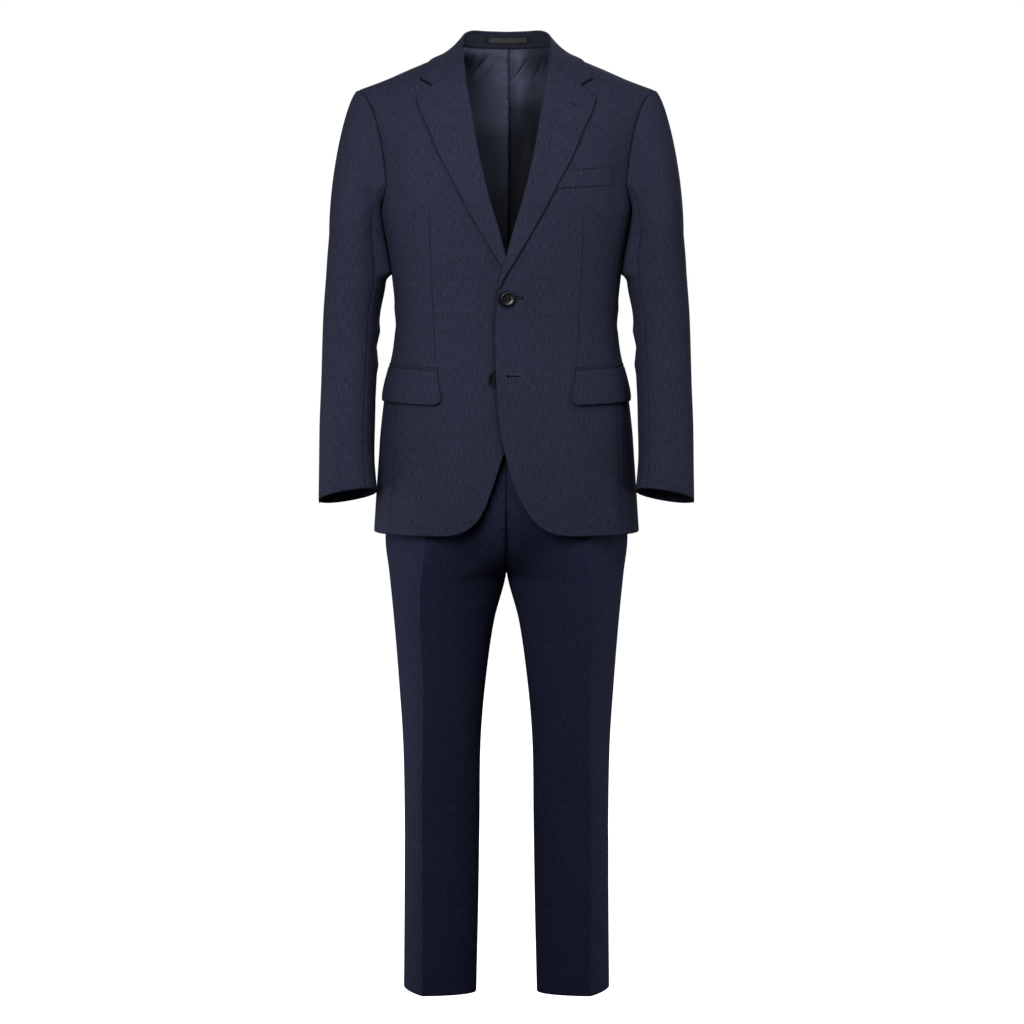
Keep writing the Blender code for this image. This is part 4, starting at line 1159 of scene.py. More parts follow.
@dataclass
class Buttonhole:
    """A worked buttonhole: a slit, with a round eye if it is keyed, purled, on a thin rim plate.

    gap, purl and rim are half widths: of the slit, of the purled edge and of the rim plate, which
    is dark where the slit is closed: a painted shadow.
    """

    name: str
    seat: Vector
    way: Vector
    out: Vector
    length: float
    keyed: bool
    gap: float
    purl: float
    rim: float
    eye: float = 0.0021

    def outline(self, half_width: float, count: int = 96) -> list[Pair]:
        """An outline round the slit: distances along it and across it.

        Args:
            half_width: the outline's half width.
            count: how many points it has.

        Returns:
            The points.
        """
        line = []
        half = self.length / 2.0 + half_width - self.gap
        for index in range(count):
            angle = 2.0 * math.pi * index / count
            along = half * math.cos(angle)
            across = half_width * math.copysign(abs(math.sin(angle)) ** 0.3, math.sin(angle))
            if self.keyed:
                near_eye = max(1.0 - abs(along + half - self.eye) / self.eye, 0.0)
                across += math.copysign((self.eye - self.gap) * math.sqrt(near_eye), across)
            line.append((along, across))
        return line

    def placed(self, line: Sequence[Pair], lift: float) -> list[Vector]:
        """An outline's points at a height over the cloth."""
        sideways = self.out.cross(self.way).normalized()
        return [self.seat + self.way * a + sideways * b + self.out * lift for a, b in line]

    def patch(self, name: str, half_width: float, lift: float, finish: Material) -> None:
        """A thin plate inside one of the outlines.

        Args:
            name: its name.
            half_width: the outline's half width.
            lift: its height over the cloth.
            finish: its finish.
        """
        low = self.placed(self.outline(half_width), lift - 0.0002)
        points = low + [point + self.out * 0.0002 for point in low]
        count = len(low)
        faces: list[tuple[int, ...]] = [tuple(range(count - 1, -1, -1)),
                                        tuple(range(count, 2 * count))]
        for index in range(count):
            after = (index + 1) % count
            faces.append((index, after, count + after, count + index))
        plate = mesh_object(name, [tuple(point) for point in points], faces, finish)
        attach(plate, "jacket_cloth")

    def build(self, thread: Material, dark: Material,
              pitch: float = 0.00062) -> None:
        """The rim plate, the purled edge and the slit's plate; the dark plates are painted shade.

        Args:
            thread: the thread's finish.
            dark: the finish of the slit's plate, and of the rim plate where the slit is closed:
                painted shade.
            pitch: the distance between stitches.
        """
        # Where the slit is closed, the rim is a dark plate: a painted shadow of the cloth round the
        # hole.
        self.patch(self.name + "_rim", self.rim, 0.00022, dark if self.gap < 0.0002 else thread)
        # The slit is a dark plate: painted shade in the opening.
        self.patch(self.name + "_slit", self.gap, 0.00075, dark)
        line = self.outline(self.gap)
        spots = np.array(self.placed(line + line[:1], 0.0))
        out = np.tile(np.array(tuple(self.out)), (len(spots), 1))
        sewing = Sewing(self.name, thread, self.purl - self.gap, 0.0006, 0.00035)
        for spot, way, up in even_marks(spots, out, pitch):
            away = way.cross(up).normalized()
            sewing.marks.append((spot + away * sewing.length / 2.0, away, up))
        sewing.build()


# ---------------------------------------------------------------- the jacket's panels
@dataclass
class JacketPanels:
    """The fronts, the panels under the arms, the backs and the lining inside the back."""

    wardrobe: Wardrobe
    dart: Table = Table(((-0.4655, 0.1064), (-0.3209, 0.1126), (-0.2253, 0.1155)))
    buttons: tuple[Pair, ...] = ((0.0022, -0.3663), (-0.013, -0.4861))
    lining_gap: float = 0.003
    lining_start: float = 0.4
    lining_top: float = 1.03
    lining_drawn: float = 0.93
    lining_inset: float = 0.002
    lining_bulge: float = 0.006
    # Width of the painted shade in the lining's sharp creases.
    crease_shade_width: float = 0.0013
    lining_aside: float = 0.0035
    lining_handle: float = 0.42
    lining_side_top: float = 0.988
    front_columns: int = 62
    front_rows: int = 170
    parting: Table = Table((
        (-0.7235, 0.0), (-0.7126, 0.001), (-0.6965, 0.0022), (-0.6665, 0.0066), (-0.6366, 0.0085),
        (-0.6216, 0.0077), (-0.6066, 0.0062), (-0.58, 0.0035), (-0.54, 0.001), (-0.5, 0.0),
    ))
    panel_width: float = 0.2
    dart_swell: Pair = (0.0003, 0.006)
    dart_sink: Pair = (0.0007, 0.0011)
    dart_fades: Pair = (0.004, 0.03)
    # Painted shade: strength and reach along the dart, beside the lapel's edge and under the lapped
    # edge, then the painted shadow ring round each button and its offset.
    dart_shade: Pair = (0.45, 0.001)
    lapel_dark: Pair = (0.22, 0.0045)
    lap_shade: Pair = (0.45, 0.0042)
    lap_span: Pair = (-0.62, -0.29)
    fade: float = 0.02
    button_shadow: Pair = (0.0092, 0.004)
    shadow_aside: Pair = (-0.0014, -0.0018)
    lining_seam_shade: Pair = (0.8, 0.0012)
    pucker: Pair = (0.0006, 0.006)
    gather: Pair = (0.0005, 0.008)
    fronts: dict[Side, Sheet] = field(default_factory=dict)
    side_wrinkles: ClassVar[Folds] = folds((
        (-50, -375, 0, -392, 55, -378, 10, 1.2), (-45, -402, 5, -418, 60, -408, 9, -1),
        (-10, -520, -5, -600, 4, -716, 20, 1),
    ))
    front_wrinkles: ClassVar[dict[Side, Folds]] = {
        Side.LEFT: folds((
            (172, -120, 163, -190, 166, -262, 11, -1.6), (155, -100, 148, -180, 152, -240, 13, 0.8),
            (30, -372, 75, -392, 120, -385, 13, 0.6), (36, -392, 80, -418, 132, -420, 11, -0.6),
            (140, -545, 150, -620, 158, -715, 18, 1.2), (90, -560, 94, -630, 92, -712, 21, 0.8),
            (60, -110, 105, -85, 150, -80, 16, -0.5),
        )),
        Side.RIGHT: folds((
            (170, -115, 160, -185, 164, -270, 12, -1.8), (150, -95, 146, -170, 149, -250, 13, 0.8),
            (12, -385, 62, -400, 118, -396, 14, 0.6), (30, -410, 82, -430, 140, -424, 12, -0.6),
            (146, -550, 153, -630, 160, -716, 18, 1.2), (85, -575, 90, -640, 94, -715, 20, 0.9),
            (62, -118, 100, -92, 146, -84, 17, -0.5),
        )),
    }
    back_wrinkles: ClassVar[dict[Side, Folds]] = {
        Side.LEFT: folds((
            (168, -130, 158, -200, 165, -280, 12, -2), (145, -110, 140, -190, 150, -260, 14, 1.4),
            (20, -378, 80, -392, 140, -372, 10, 1.4), (35, -398, 90, -416, 150, -402, 9, -1.3),
            (30, -424, 70, -434, 128, -428, 10, 1.1), (60, -520, 66, -610, 62, -715, 20, 1.3),
            (125, -510, 138, -600, 140, -715, 18, 1.4), (20, -40, 60, -52, 110, -44, 10, 0.9),
        )),
        Side.RIGHT: folds((
            (166, -120, 155, -195, 162, -286, 12, -2), (142, -100, 138, -180, 146, -250, 14, 1.3),
            (14, -388, 70, -398, 134, -380, 10, 1.3), (30, -410, 86, -424, 146, -412, 9, -1.2),
            (22, -436, 64, -446, 118, -440, 11, 1), (52, -530, 60, -620, 58, -716, 20, 1.2),
            (122, -520, 132, -610, 136, -716, 18, 1.4), (26, -44, 64, -56, 104, -50, 10, 0.8),
        )),
    }
    # Painted shade across each lining half, by distance from the centre seam.
    lining_painted_shade: ClassVar[dict[Side, Table]] = {
        Side.RIGHT: Table(((0.0, 0.36), (0.0103, 0.42), (0.0229, 0.26), (0.0355, 0.05),
                           (0.048, 0.0), (0.12, 0.0))),
        Side.LEFT: Table(((0.0, 0.36), (0.006, 0.24), (0.015, 0.0), (0.02, 0.16),
                          (0.0273, 0.45), (0.04, 0.64), (0.12, 0.66))),
    }
    lining_wrinkles: ClassVar[dict[Side, Folds]] = {
        Side.LEFT: folds((
            (33.9, 6, 27, -10, 6, -36, 3, -2.1), (28.5, -4, 18, -23, 5, -46, 4, 1.4),
            (56, 4, 50, -16, 40, -34, 3.2, -1.9), (48, -4, 42, -30, 20, -65, 6, 1.6),
            (30, -60, 33, -100, 25, -150, 11, -2.6), (12, -70, 16, -120, 12, -190, 8, 1.8),
            (56, -70, 54, -110, 48, -160, 9, 2),
        )),
        Side.RIGHT: folds((
            (23.2, 9.5, 38, -8, 53, -27, 3, -2.1), (18, 2, 30, -18, 48, -38, 4.2, 1.4),
            (50, 5, 56, -10, 62, -30, 4.5, -0.8), (8, -20, 12, -50, 10, -90, 5.5, 1.4),
            (36, -60, 40, -100, 42, -140, 10, 2), (20, -100, 24, -150, 16, -210, 9, -2.4),
            (42, -150, 38, -190, 26, -240, 8, 2),
        )),
    }

    def front_surface(self, side: Side) -> Surface:
        """The front's surface, with its columns drawn to the dart.

        Args:
            side: the front's side.

        Returns:
            The surface.
        """
        along = np.linspace(0.0, 1.0, 41)
        across = np.linspace(0.0, 1.0, 161)
        sample = FORM.point(*FORM.front_place(across[None, :], along[:, None]))
        off = sample[..., 0] - self.dart.one(sample[..., 2])
        dart = Table(tuple((float(low), float(np.interp(0.0, line, across)))
                           for low, line in zip(along, off)))

        def surface(column: Array, row: Array) -> Array:
            """Points of the front, whose middle column is the dart.

            Args:
                column: 0 at the inner edge, a half at the dart and 1 at the side.
                row: how far up the front.

            Returns:
                The points.
            """
            middle = dart.one(np.clip(row, 0.0, 1.0))
            low = column * middle / 0.5
            high = middle + (column - 0.5) * (1.0 - middle) / 0.5
            turn, rise = FORM.front_place(np.where(column < 0.5, low, high), row)
            point = FORM.point(turn, rise)
            if side is Side.RIGHT:
                aside = self.parting.one(point[..., 2]) * ease(1.0 - column / 0.45)
                moved = FORM.place(point[..., 0] + aside, point[..., 2])[0]
                turn = np.where(aside > 0.0, moved, turn)
            return FORM.lay(turn, rise, FORM.lap_lift(side, point[..., 0], point[..., 2]))

        return surface

    def dart_share(self, height: Array) -> Array:
        """1 along the dart, and 0 above and below it."""
        bottom, top = self.dart.rows[0][0], self.dart.rows[-1][0]
        low_fade, high_fade = self.dart_fades
        return ease((top - height) / high_fade) * ease((height - bottom) / low_fade)

    def dart_relief(self, across: Array, along: Array, points: Array) -> Array:
        """The dart: a sunk seam between two faint swellings.

        Args:
            across: how far across the front.
            along: how far up it.
            points: the points there.

        Returns:
            The relief, in metres.
        """
        away = (across - 0.5) * self.panel_width
        (swell, swell_reach), (sink, sink_reach) = self.dart_swell, self.dart_sink
        out = swell * bell(away / swell_reach) - sink * bell(away / sink_reach)
        return self.dart_share(points[..., 2]) * out

    def front_shade(self, side: Side) -> Relief:
        """Painted shade: soft dark beside the lapel's edge, along the dart and under the lapped
        edge, and a painted shadow round the buttons.

        Args:
            side: the front's side.

        Returns:
            The shade's function.
        """
        def shade(across: Array, along: Array, points: Array) -> Array:
            """How dark each point is.

            Args:
                across: how far across the front.
                along: how far up it.
                points: the points there.

            Returns:
                The shade of each.
            """
            x, height = points[..., 0], points[..., 2]
            strength, reach = self.lapel_dark
            low = ease((height - LAPEL_EDGE.rows[0][0]) / self.fade)
            beside = bell((x - LAPEL_EDGE.one(height)) / reach)
            dark = strength * beside * low * ease((-0.06 - height) / 0.01)
            strength, reach = self.dart_shade
            seam = strength * bell((across - 0.5) * self.panel_width / reach)
            dark = np.maximum(dark, seam * self.dart_share(height))
            if side is Side.RIGHT:
                strength, reach = self.lap_shade
                low, high = self.lap_span
                lapped = bell((x + FORM.front_edge.one(height)) / reach)
                over = ease((high - height) / self.fade) * ease((height - low) / self.fade)
                dark = np.maximum(dark, strength * lapped * over)
            # A painted shadow ring round each button, shifted down and to one side.
            for button_x, button_height in self.buttons[:1 if side is Side.LEFT else 2]:
                away = np.hypot(x * side.value - button_x - self.shadow_aside[0],
                                height - button_height - self.shadow_aside[1])
                ring = (away - self.button_shadow[0]) / self.button_shadow[1]
                dark = np.maximum(dark, np.exp(-ring ** 4))
            return dark

        return shade

    def front(self, side: Side) -> Sheet:
        """One front, with close columns beside its dart.

        Args:
            side: the front's side.

        Returns:
            The sheet.
        """
        columns = graded(0.0005, 0.9992, self.front_columns, 0.2)
        beside = np.array([-0.012, -0.0075, -0.005, -0.003, 0.0, 0.003, 0.005, 0.0075, 0.012])
        keep = columns[np.abs(columns - 0.5) > 0.016]
        return Sheet(
            name=f"front_{side.word}", surface=self.front_surface(side),
            columns=np.sort(np.concatenate((keep, 0.5 + beside))),
            rows=graded(0.0, 0.9992, self.front_rows, 0.7), finish=self.wardrobe.jacket,
            node=f"jacket_front_{side.word}", flat=(0.3, 0.76), area=0.1335, side=side,
            edges=(Edge.TURNED, Edge.SEAM, Edge.TURNED, Edge.SEAM),
            wrinkles=self.front_wrinkles[side], relief=self.dart_relief,
            shade=self.front_shade(side), rests_on=(f"lapel_{side.word}",))

    @staticmethod
    def side_surface(across: Array, along: Array) -> Array:
        """Points of the panel under the arm."""
        middle = FORM.arm_turn * (1.0 - 2.0 * across)
        rise = -1.0 + (FORM.underarm_rise(middle) + 1.0) * along
        return FORM.point(FORM.seam_turn(rise) * (1.0 - 2.0 * across), rise)

    def side_body(self, side: Side) -> Sheet:
        """The panel under one arm.

        Args:
            side: the panel's side.

        Returns:
            The sheet.
        """
        return Sheet(
            name=f"side_body_{side.word}", surface=self.side_surface,
            columns=graded(0.001, 0.999, 30, 0.15), rows=graded(0.0, 1.0, 110, 0.5),
            finish=self.wardrobe.jacket, node=f"jacket_side_body_{side.word}", flat=(0.19, 0.56),
            area=0.0725, side=side, edges=(Edge.SEAM, Edge.SEAM, Edge.TURNED, Edge.SEAM),
            chart=lambda across, along, points: points[..., (1, 2)], wrinkles=self.side_wrinkles)

    def back(self, side: Side) -> Sheet:
        """One back.

        Args:
            side: the back's side.

        Returns:
            The sheet.
        """
        return Sheet(
            name=f"back_{side.word}",
            surface=lambda across, along: FORM.point(*FORM.back_place(across, along)),
            columns=graded(0.0005, 0.9992, 66, 0.21), rows=graded(0.0, 0.9992, 170, 0.7),
            finish=self.wardrobe.jacket, node=f"jacket_back_{side.word}", flat=(0.26, 0.78),
            area=0.144, side=side, flip=True, wrinkles=self.back_wrinkles[side],
            edges=(Edge.SEAM, Edge.SEAM, Edge.TURNED, Edge.SEAM))

    def lining(self, side: Side) -> Sheet:
        """One half of the lining that shows through the neck.

        Args:
            side: the half's side.

        Returns:
            The sheet.
        """
        return Sheet(
            name=f"lining_{side.word}", surface=self.lining_surface(side),
            columns=np.concatenate((steps(0.0005, 0.4, 124)[:-1], steps(0.4, 0.845, 22))),
            rows=np.concatenate((steps(self.lining_start, 0.66, 26)[:-1],
                                 steps(0.66, self.lining_top, 132))),
            finish=self.wardrobe.lining[side], node=f"back_lining_{side.word}", flat=(0.23, 0.43),
            area=0.0715, slot="lining_satin", side=side, thickness=THIN_CLOTH,
            edges=(Edge.SEAM, Edge.RAW, Edge.RAW, Edge.SEAM), wrinkles=self.lining_wrinkles[side],
            relief=self.lining_relief, shade=self.lining_shade(side))

    def inside_back(self, across: Array, along: Array) -> Array:
        """Points just inside the back, where the lining hangs."""
        drawn_in = self.lining_inset * ease((along - 0.78) / 0.15)
        lift = -CLOTH - self.lining_gap - THIN_CLOTH
        return FORM.lay(*FORM.back_place(across, along), lift - drawn_in)

    def lining_surface(self, side: Side) -> Surface:
        """The lining's surface: inside the back, and drawn up to the raised neck seam.

        Args:
            side: the half's side.

        Returns:
            The surface.
        """
        inner = np.array([0.0, -0.0004, -SEAM])

        def surface(across: Array, along: Array) -> Array:
            """Points of the lining.

            Args:
                across: how far across the half.
                along: how far up it.

            Returns:
                The points.
            """
            foot = np.full(across.shape, self.lining_drawn)
            start = self.inside_back(across, foot)
            rising = unit(start - self.inside_back(across, foot - 0.01))
            seam = FORM.raised_neck(across / FORM.neck_part * FORM.neck_share) + inner
            beyond = ease((across / FORM.neck_part - 0.9) / 0.2)[..., None]
            side_top = self.inside_back(across, np.full(across.shape, self.lining_side_top))
            seam = seam * (1.0 - beyond) + side_top * beyond
            reach = np.linalg.norm(seam - start, axis=-1)[..., None] * self.lining_handle
            bulge = towards_axis(seam) * self.lining_bulge * (1.0 - beyond)
            high = seam + bulge - np.array([0.0, 0.0, 0.9]) * reach
            part = np.clip((along - self.lining_drawn) / (self.lining_top - self.lining_drawn),
                           -0.05, 1.05)[..., None]
            drawn = curve(start, start + rising * reach, high, seam, part)
            point = np.where(part > 0.0, drawn, self.inside_back(across, np.minimum(along, 1.0)))
            aside = self.lining_aside * side.value * bell(point[..., 0] / 0.03)
            return point + stack(aside, 0.0, 0.0)

        return surface

    def lining_shade(self, side: Side) -> Relief:
        """Painted shade across the lining, in its sharp creases and along its centre seam.

        Args:
            side: the half's side.

        Returns:
            The shade's function.
        """
        creases = [Fold(fold.start, fold.bend, fold.end, self.crease_shade_width, 1.0)
                   for fold in self.lining_wrinkles[side] if fold.height < 0.0 < 0.004 - fold.width]

        def shade(across: Array, along: Array, points: Array) -> Array:
            """How dark each point is.

            Args:
                across: how far across the half.
                along: how far up it.
                points: the points there.

            Returns:
                The shade of each.
            """
            height = points[..., 2]
            away = (points[..., 0] - points[:, :1, 0]) * side.value
            wander = 0.0011 * np.sin(height * 150.0) + 0.0007 * np.sin(height * 390.0 + 1.0)
            strength, reach = self.lining_seam_shade
            seam = strength * bell((away - wander) / reach)
            dark = np.maximum(self.lining_painted_shade[side].one(away), seam)
            for crease in creases:
                dark = np.maximum(dark, crease.relief(points[..., (0, 2)]))
            return dark

        return shade

    def lining_relief(self, across: Array, along: Array, points: Array) -> Array:
        """The lining's easing along its centre seam: small uneven puckers that die away.

        Args:
            across: how far across the half.
            along: how far up it.
            points: the points there.

        Returns:
            The relief, in metres.
        """
        x, height = points[..., 0], points[..., 2]
        pucker = np.sin(height * 430.0) * 0.6 + np.sin(height * 771.0 + 1.3) * 0.4
        gather = np.sin(x * 510.0 + height * 160.0) * 0.6 + np.sin(x * 890.0 + 0.7) * 0.4
        below = FORM.neck_foot - height
        (pucker_size, pucker_reach), (gather_size, gather_reach) = self.pucker, self.gather
        return (pucker_size * pucker * bell(x / pucker_reach)
                + gather_size * gather * bell((below - 0.006) / gather_reach))

    def build(self) -> None:
        """All the panels of both sides."""
        for side in Side:
            self.fronts[side] = self.front(side).build()
            for panel in (self.side_body, self.back, self.lining):
                panel(side).build()


# ---------------------------------------------------------------- lapels and collar
@dataclass
class Lapels:
    """The turned-back lapels: a round roll along the roll line, then a leaf on the chest."""

    wardrobe: Wardrobe
    edge: Table = LAPEL_EDGE
    gorge: Pair = (0.0652, -0.0162)
    notch: Pair = (0.1118, -0.0507)
    notch_share: float = 0.68
    radii: Pair = (0.0023, 0.0032)
    roll_turn: float = math.radians(116.0)
    settle_reach: float = 0.03
    feet: ClassVar[dict[Side, float]] = {Side.LEFT: -0.35, Side.RIGHT: -0.34}
    sheets: dict[Side, Sheet] = field(default_factory=dict)
    wrinkles: ClassVar[dict[Side, Folds]] = {
        Side.LEFT: folds((
            (30, -300, 58, -215, 78, -130, 14, 0.6), (68, -60, 90, -75, 110, -110, 12, -0.4),
        )),
        Side.RIGHT: folds((
            (24, -310, 54, -225, 74, -140, 14, 0.6), (66, -64, 88, -80, 108, -116, 12, -0.4),
        )),
    }

    def place(self, across: Array, along: Array, foot: float) -> Grids:
        """x and height on the lapel, blended between its roll line, edge, foot and top.

        Args:
            across: 0 at the roll line to 1 at the edge.
            along: 0 at the foot to 1 at the top.
            foot: the foot's height.

        Returns:
            The x and the height.
        """
        across, along = np.broadcast_arrays(np.maximum(across, 0.0), along)
        low = foot + (self.gorge[1] - foot) * along
        far = foot + (self.edge.rows[-1][0] - foot) * along
        inner = (FORM.front_edge.one(low), low)
        outer = (self.edge.one(far), far)
        tip = (self.edge.rows[-1][1], self.edge.rows[-1][0])
        first = across / self.notch_share
        second = (across - self.notch_share) / (1.0 - self.notch_share)
        place = []
        for axis in (0, 1):
            near = between(self.gorge[axis], self.notch[axis], first)
            beyond = between(self.notch[axis], tip[axis], second)
            top = np.where(across <= self.notch_share, near, beyond)
            chord = (1.0 - across) * self.gorge[axis] + across * tip[axis]
            sides = (1.0 - across) * inner[axis] + across * outer[axis]
            place.append(sides + (top - chord) * along ** 3)
        return place[0], place[1]

    def roll_over(self, x: Array, height: Array, angle: Array, radius: Array | float) -> Array:
        """Points of the roll at the inner edge; the angle is a quarter turn on its top."""
        turn, rise = FORM.place(x, height)
        point = FORM.lay(turn, rise, radius * (1.0 + np.sin(angle)) + SEAM)
        return point - stack(radius * np.cos(angle), 0.0, 0.0)

    def leaf_over(self, x: Array, height: Array, start_x: Array | float,
                  radius: Array | float) -> Array:
        """Points of the turned-back leaf, which settles on the chest away from its roll.

        Args:
            x: the distance from the middle.
            height: the height.
            start_x: where the leaf leaves its roll.
            radius: the roll's radius.

        Returns:
            The points.
        """
        settled = REST_GAP + CLOTH
        lift = between(2.0 * radius, settled, ease((x - start_x) / self.settle_reach))
        turn, rise = FORM.place(x, height)
        return FORM.lay(turn, rise, lift + SEAM)

    def surface(self, side: Side) -> Surface:
        """One lapel's surface: across is -2 to 0 round the roll and 0 to 1 over the leaf.

        Args:
            side: the lapel's side.

        Returns:
            The surface.
        """
        foot = self.feet[side]

        def lapel(across: Array, along: Array) -> Array:
            """Points of the lapel.

            Args:
                across: how far round the roll and over the leaf.
                along: 0 at the foot to 1 at the top.

            Returns:
                The points.
            """
            radius = between(*self.radii, along)
            x, height = self.place(across, along, foot)
            start = self.place(np.zeros(along.shape), along, foot)[0]
            angle = math.pi / 2.0 + self.roll_turn * across / 2.0
            rolled = self.roll_over(x, height, angle, radius)
            leaf = self.leaf_over(x, height, start, radius)
            point = np.where((across < 0.0)[..., None], rolled, leaf)
            normal = FORM.normal(*FORM.place(x, height))
            return point + normal * FORM.lap_lift(side, x, height)[..., None]

        return lapel

    def build(self) -> None:
        """Both lapels."""
        leaf = graded(0.0, 1.0, 38, 0.06)[4:]
        columns = np.concatenate((steps(-2.0, 0.0, 10)[:-1], steps(0.0, leaf[0], 2)[:-1], leaf))
        for side in Side:
            self.sheets[side] = Sheet(
                name=f"{side.word}_lapel", surface=self.surface(side), columns=columns,
                rows=graded(0.0, 1.0, 100, 0.31), finish=self.wardrobe.jacket,
                node=f"lapel_{side.word}", flat=(0.08, 0.34), area=0.0175, side=side,
                edges=(Edge.RAW, Edge.TURNED, Edge.RAW, Edge.LAPPED),
                wrinkles=self.wrinkles[side], rests_on=(f"front_{side.word}",)).build()


@dataclass
class Collar:
    """The fall, which turns over at the fold, the stand inside it, and the bare neck label."""

    wardrobe: Wardrobe
    lapels: Lapels
    table: Table = Table((
        (0.0, 0.0, 0.0625, 0.0418, 0.0, 0.0715, -0.011),
        (0.17, 0.03, 0.058, 0.0424, 0.039, 0.064, -0.011),
        (0.33, 0.052, 0.044, 0.0424, 0.069, 0.049, -0.0085),
        (0.5, 0.064, 0.023, 0.0358, 0.097, 0.022, -0.0055),
        (0.67, 0.068, 0.0, 0.0225, 0.112, -0.004, -0.0055),
        (0.83, 0.0682, -0.029, 0.006, 0.122, -0.027, -0.017),
        (1.0, 0.066, -0.058, -0.012, 0.1302, -0.05, -0.0384),
    ))
    tip: Pair = (0.1302, -0.0394)
    roll: float = 0.0024
    hollow: float = 0.002
    slope_step: float = 0.04
    gap: float = 0.001
    gorge_gap: float = 0.0008
    front_share: float = 0.72
    stand_reach: float = 0.88
    stand_short: float = 0.0011
    half_length: float = 0.205
    notch_sink: float = 0.0016
    notch_reach: float = 0.0046
    notch_span: Pair = (0.66, 0.97)
    notch_fades: Pair = (0.06, 0.03)
    label_half: float = 0.0348
    label_shift: float = 0.003
    label_rows: Pair = (0.32, 0.76)
    label_flare: float = 0.27
    label_shadow: float = 0.3
    fall_wrinkles: ClassVar[Folds] = folds((
        (-150, 5, -140, 22, -128, 45, 10, 0.5), (146, 6, 138, 24, 124, 46, 10, 0.5),
        (-30, 10, -24, 26, -28, 45, 12, -0.4), (50, 10, 54, 26, 48, 45, 12, -0.4),
    ))
    stand_wrinkles: ClassVar[Folds] = folds((
        (-60, 3, -56, 15, -60, 28, 8, 0.4), (75, 3, 70, 15, 74, 28, 8, 0.4),
    ))
    stand_sheet: Sheet | None = None

    def neck_seam(self, share: Array) -> Array:
        """The seam round the neck: share is 0 at the centre back and 1 at the gorge.

        Args:
            share: how far round the neck.

        Returns:
            The points.
        """
        behind = FORM.raised_neck(share)
        gorge_rise = float(FORM.place(*self.lapels.gorge)[1])
        part = (share - FORM.neck_share) / (1.0 - FORM.neck_share)
        ahead = FORM.point(*FORM.front_inner(1.0 + (gorge_rise - 1.0) * np.maximum(part, 0.0)))
        return np.where((share <= FORM.neck_share)[..., None], behind, ahead)

    def gorge_point(self, down: Array) -> Array:
        """The collar's front end: the roll, the gorge seam and the notch, as the lapel's.

        Args:
            down: how far over the fall.

        Returns:
            The points.
        """
        lapels = self.lapels
        radius = lapels.radii[1]
        inner = np.array(lapels.gorge)
        notch = np.array(lapels.notch)
        tip = np.array(self.tip)
        first = np.maximum(down, 0.0)[..., None] / lapels.notch_share
        second = (down[..., None] - lapels.notch_share) / (1.0 - lapels.notch_share)
        place = np.where(first <= 1.0, inner + (notch - inner) * first,
                         notch + (tip - notch) * second)
        x = place[..., 0]
        height = place[..., 1] + self.gorge_gap
        angle = math.pi / 2.0 + lapels.roll_turn * np.minimum(down, 0.0) / 3.0
        rolled = lapels.roll_over(x, height, angle, radius)
        leaf = lapels.leaf_over(x, height, inner[0], radius)
        return np.where((down < 0.0)[..., None], rolled, leaf)

    def loft(self, share: Array, down: Array) -> Array:
        """The collar between its table's fold and edge, before it is drawn to the gorge.

        Args:
            share: how far round the neck.
            down: how far over the fall.

        Returns:
            The points.
        """
        row = self.table.read(share)
        ahead = self.table.read(np.minimum(share + self.slope_step, 1.0))
        behind = self.table.read(np.maximum(share - self.slope_step, 0.0))
        outward = unit(stack(behind[..., 1] - ahead[..., 1], ahead[..., 0] - behind[..., 0], 0.0))
        up = np.array([0.0, 0.0, 1.0])
        angle = (math.radians(50.0) * (1.0 - np.minimum(down, 0.0)))[..., None]
        point = row[..., :3] + (outward * np.cos(angle) + up * (np.sin(angle) - 1.0)) * self.roll
        middle = (point + row[..., 3:]) / 2.0 - up * self.hollow
        part = np.maximum(down, 0.0)[..., None]
        bent = point * (1.0 - part) ** 2 + middle * 2.0 * part * (1.0 - part)
        return bent + row[..., 3:] * part ** 2

    def fall(self, along: Array, down: Array) -> Array:
        """Points of the fall: down is -3 to 0 round the fold and 0 to 1 to the outer edge.

        Args:
            along: how far round the neck, with the side's sign.
            down: how far over the fall.

        Returns:
            The points.
        """
        share = np.minimum(np.abs(along), 1.0)
        drawn = ease((share - self.front_share) / (1.0 - self.front_share))
        pull = self.gorge_point(down) - self.loft(np.ones(share.shape), down)
        point = self.loft(share, down) + pull * drawn[..., None]
        least = self.gap + (REST_GAP + SEAM - self.gap) * drawn + CLOTH
        settled = FORM.settle(point, point[..., 1] > 0.0, least * np.clip(4.0 * down, 0.0, 1.0))
        point = np.where((down > 0.0)[..., None], settled, point)
        x = np.where(share > 0.0, np.copysign(point[..., 0], along), 0.0)
        return stack(x, point[..., 1], point[..., 2])

    def stand(self, along: Array, up_share: Array, lift: float) -> Array:
        """Points of the stand's face towards the neck; up_share is 0 at the neck seam.

        Args:
            along: how far round the neck, with the side's sign.
            up_share: how far up the stand.
            lift: how far off its face.

        Returns:
            The points.
        """
        top = self.fall(along, np.full(along.shape, -3.0))
        foot = self.neck_seam(np.abs(along))
        foot = stack(np.copysign(foot[..., 0], along), foot[..., 1], foot[..., 2])
        inward = towards_axis(top)
        low = foot + inward * (CLOTH / 2.0)
        front = ease((np.abs(along) - FORM.neck_share + 0.06) / 0.12)
        climb = unit(top - low) * (3.0 * SEAM + self.stand_short * front)[..., None]
        rising = (top - low - climb * 2.0) * up_share[..., None]
        return low + climb + rising + inward * lift

    def notch_mask(self, across: Array, down: Array) -> Array:
        """Where the collar's front end turns down into the notch."""
        (low, high), (low_fade, high_fade) = self.notch_span, self.notch_fades
        inside = ease((down - low) / low_fade) * (1.0 - ease((down - high) / high_fade))
        return np.exp(-((1.0 - np.abs(across)) * self.half_length / self.notch_reach) ** 4) * inside

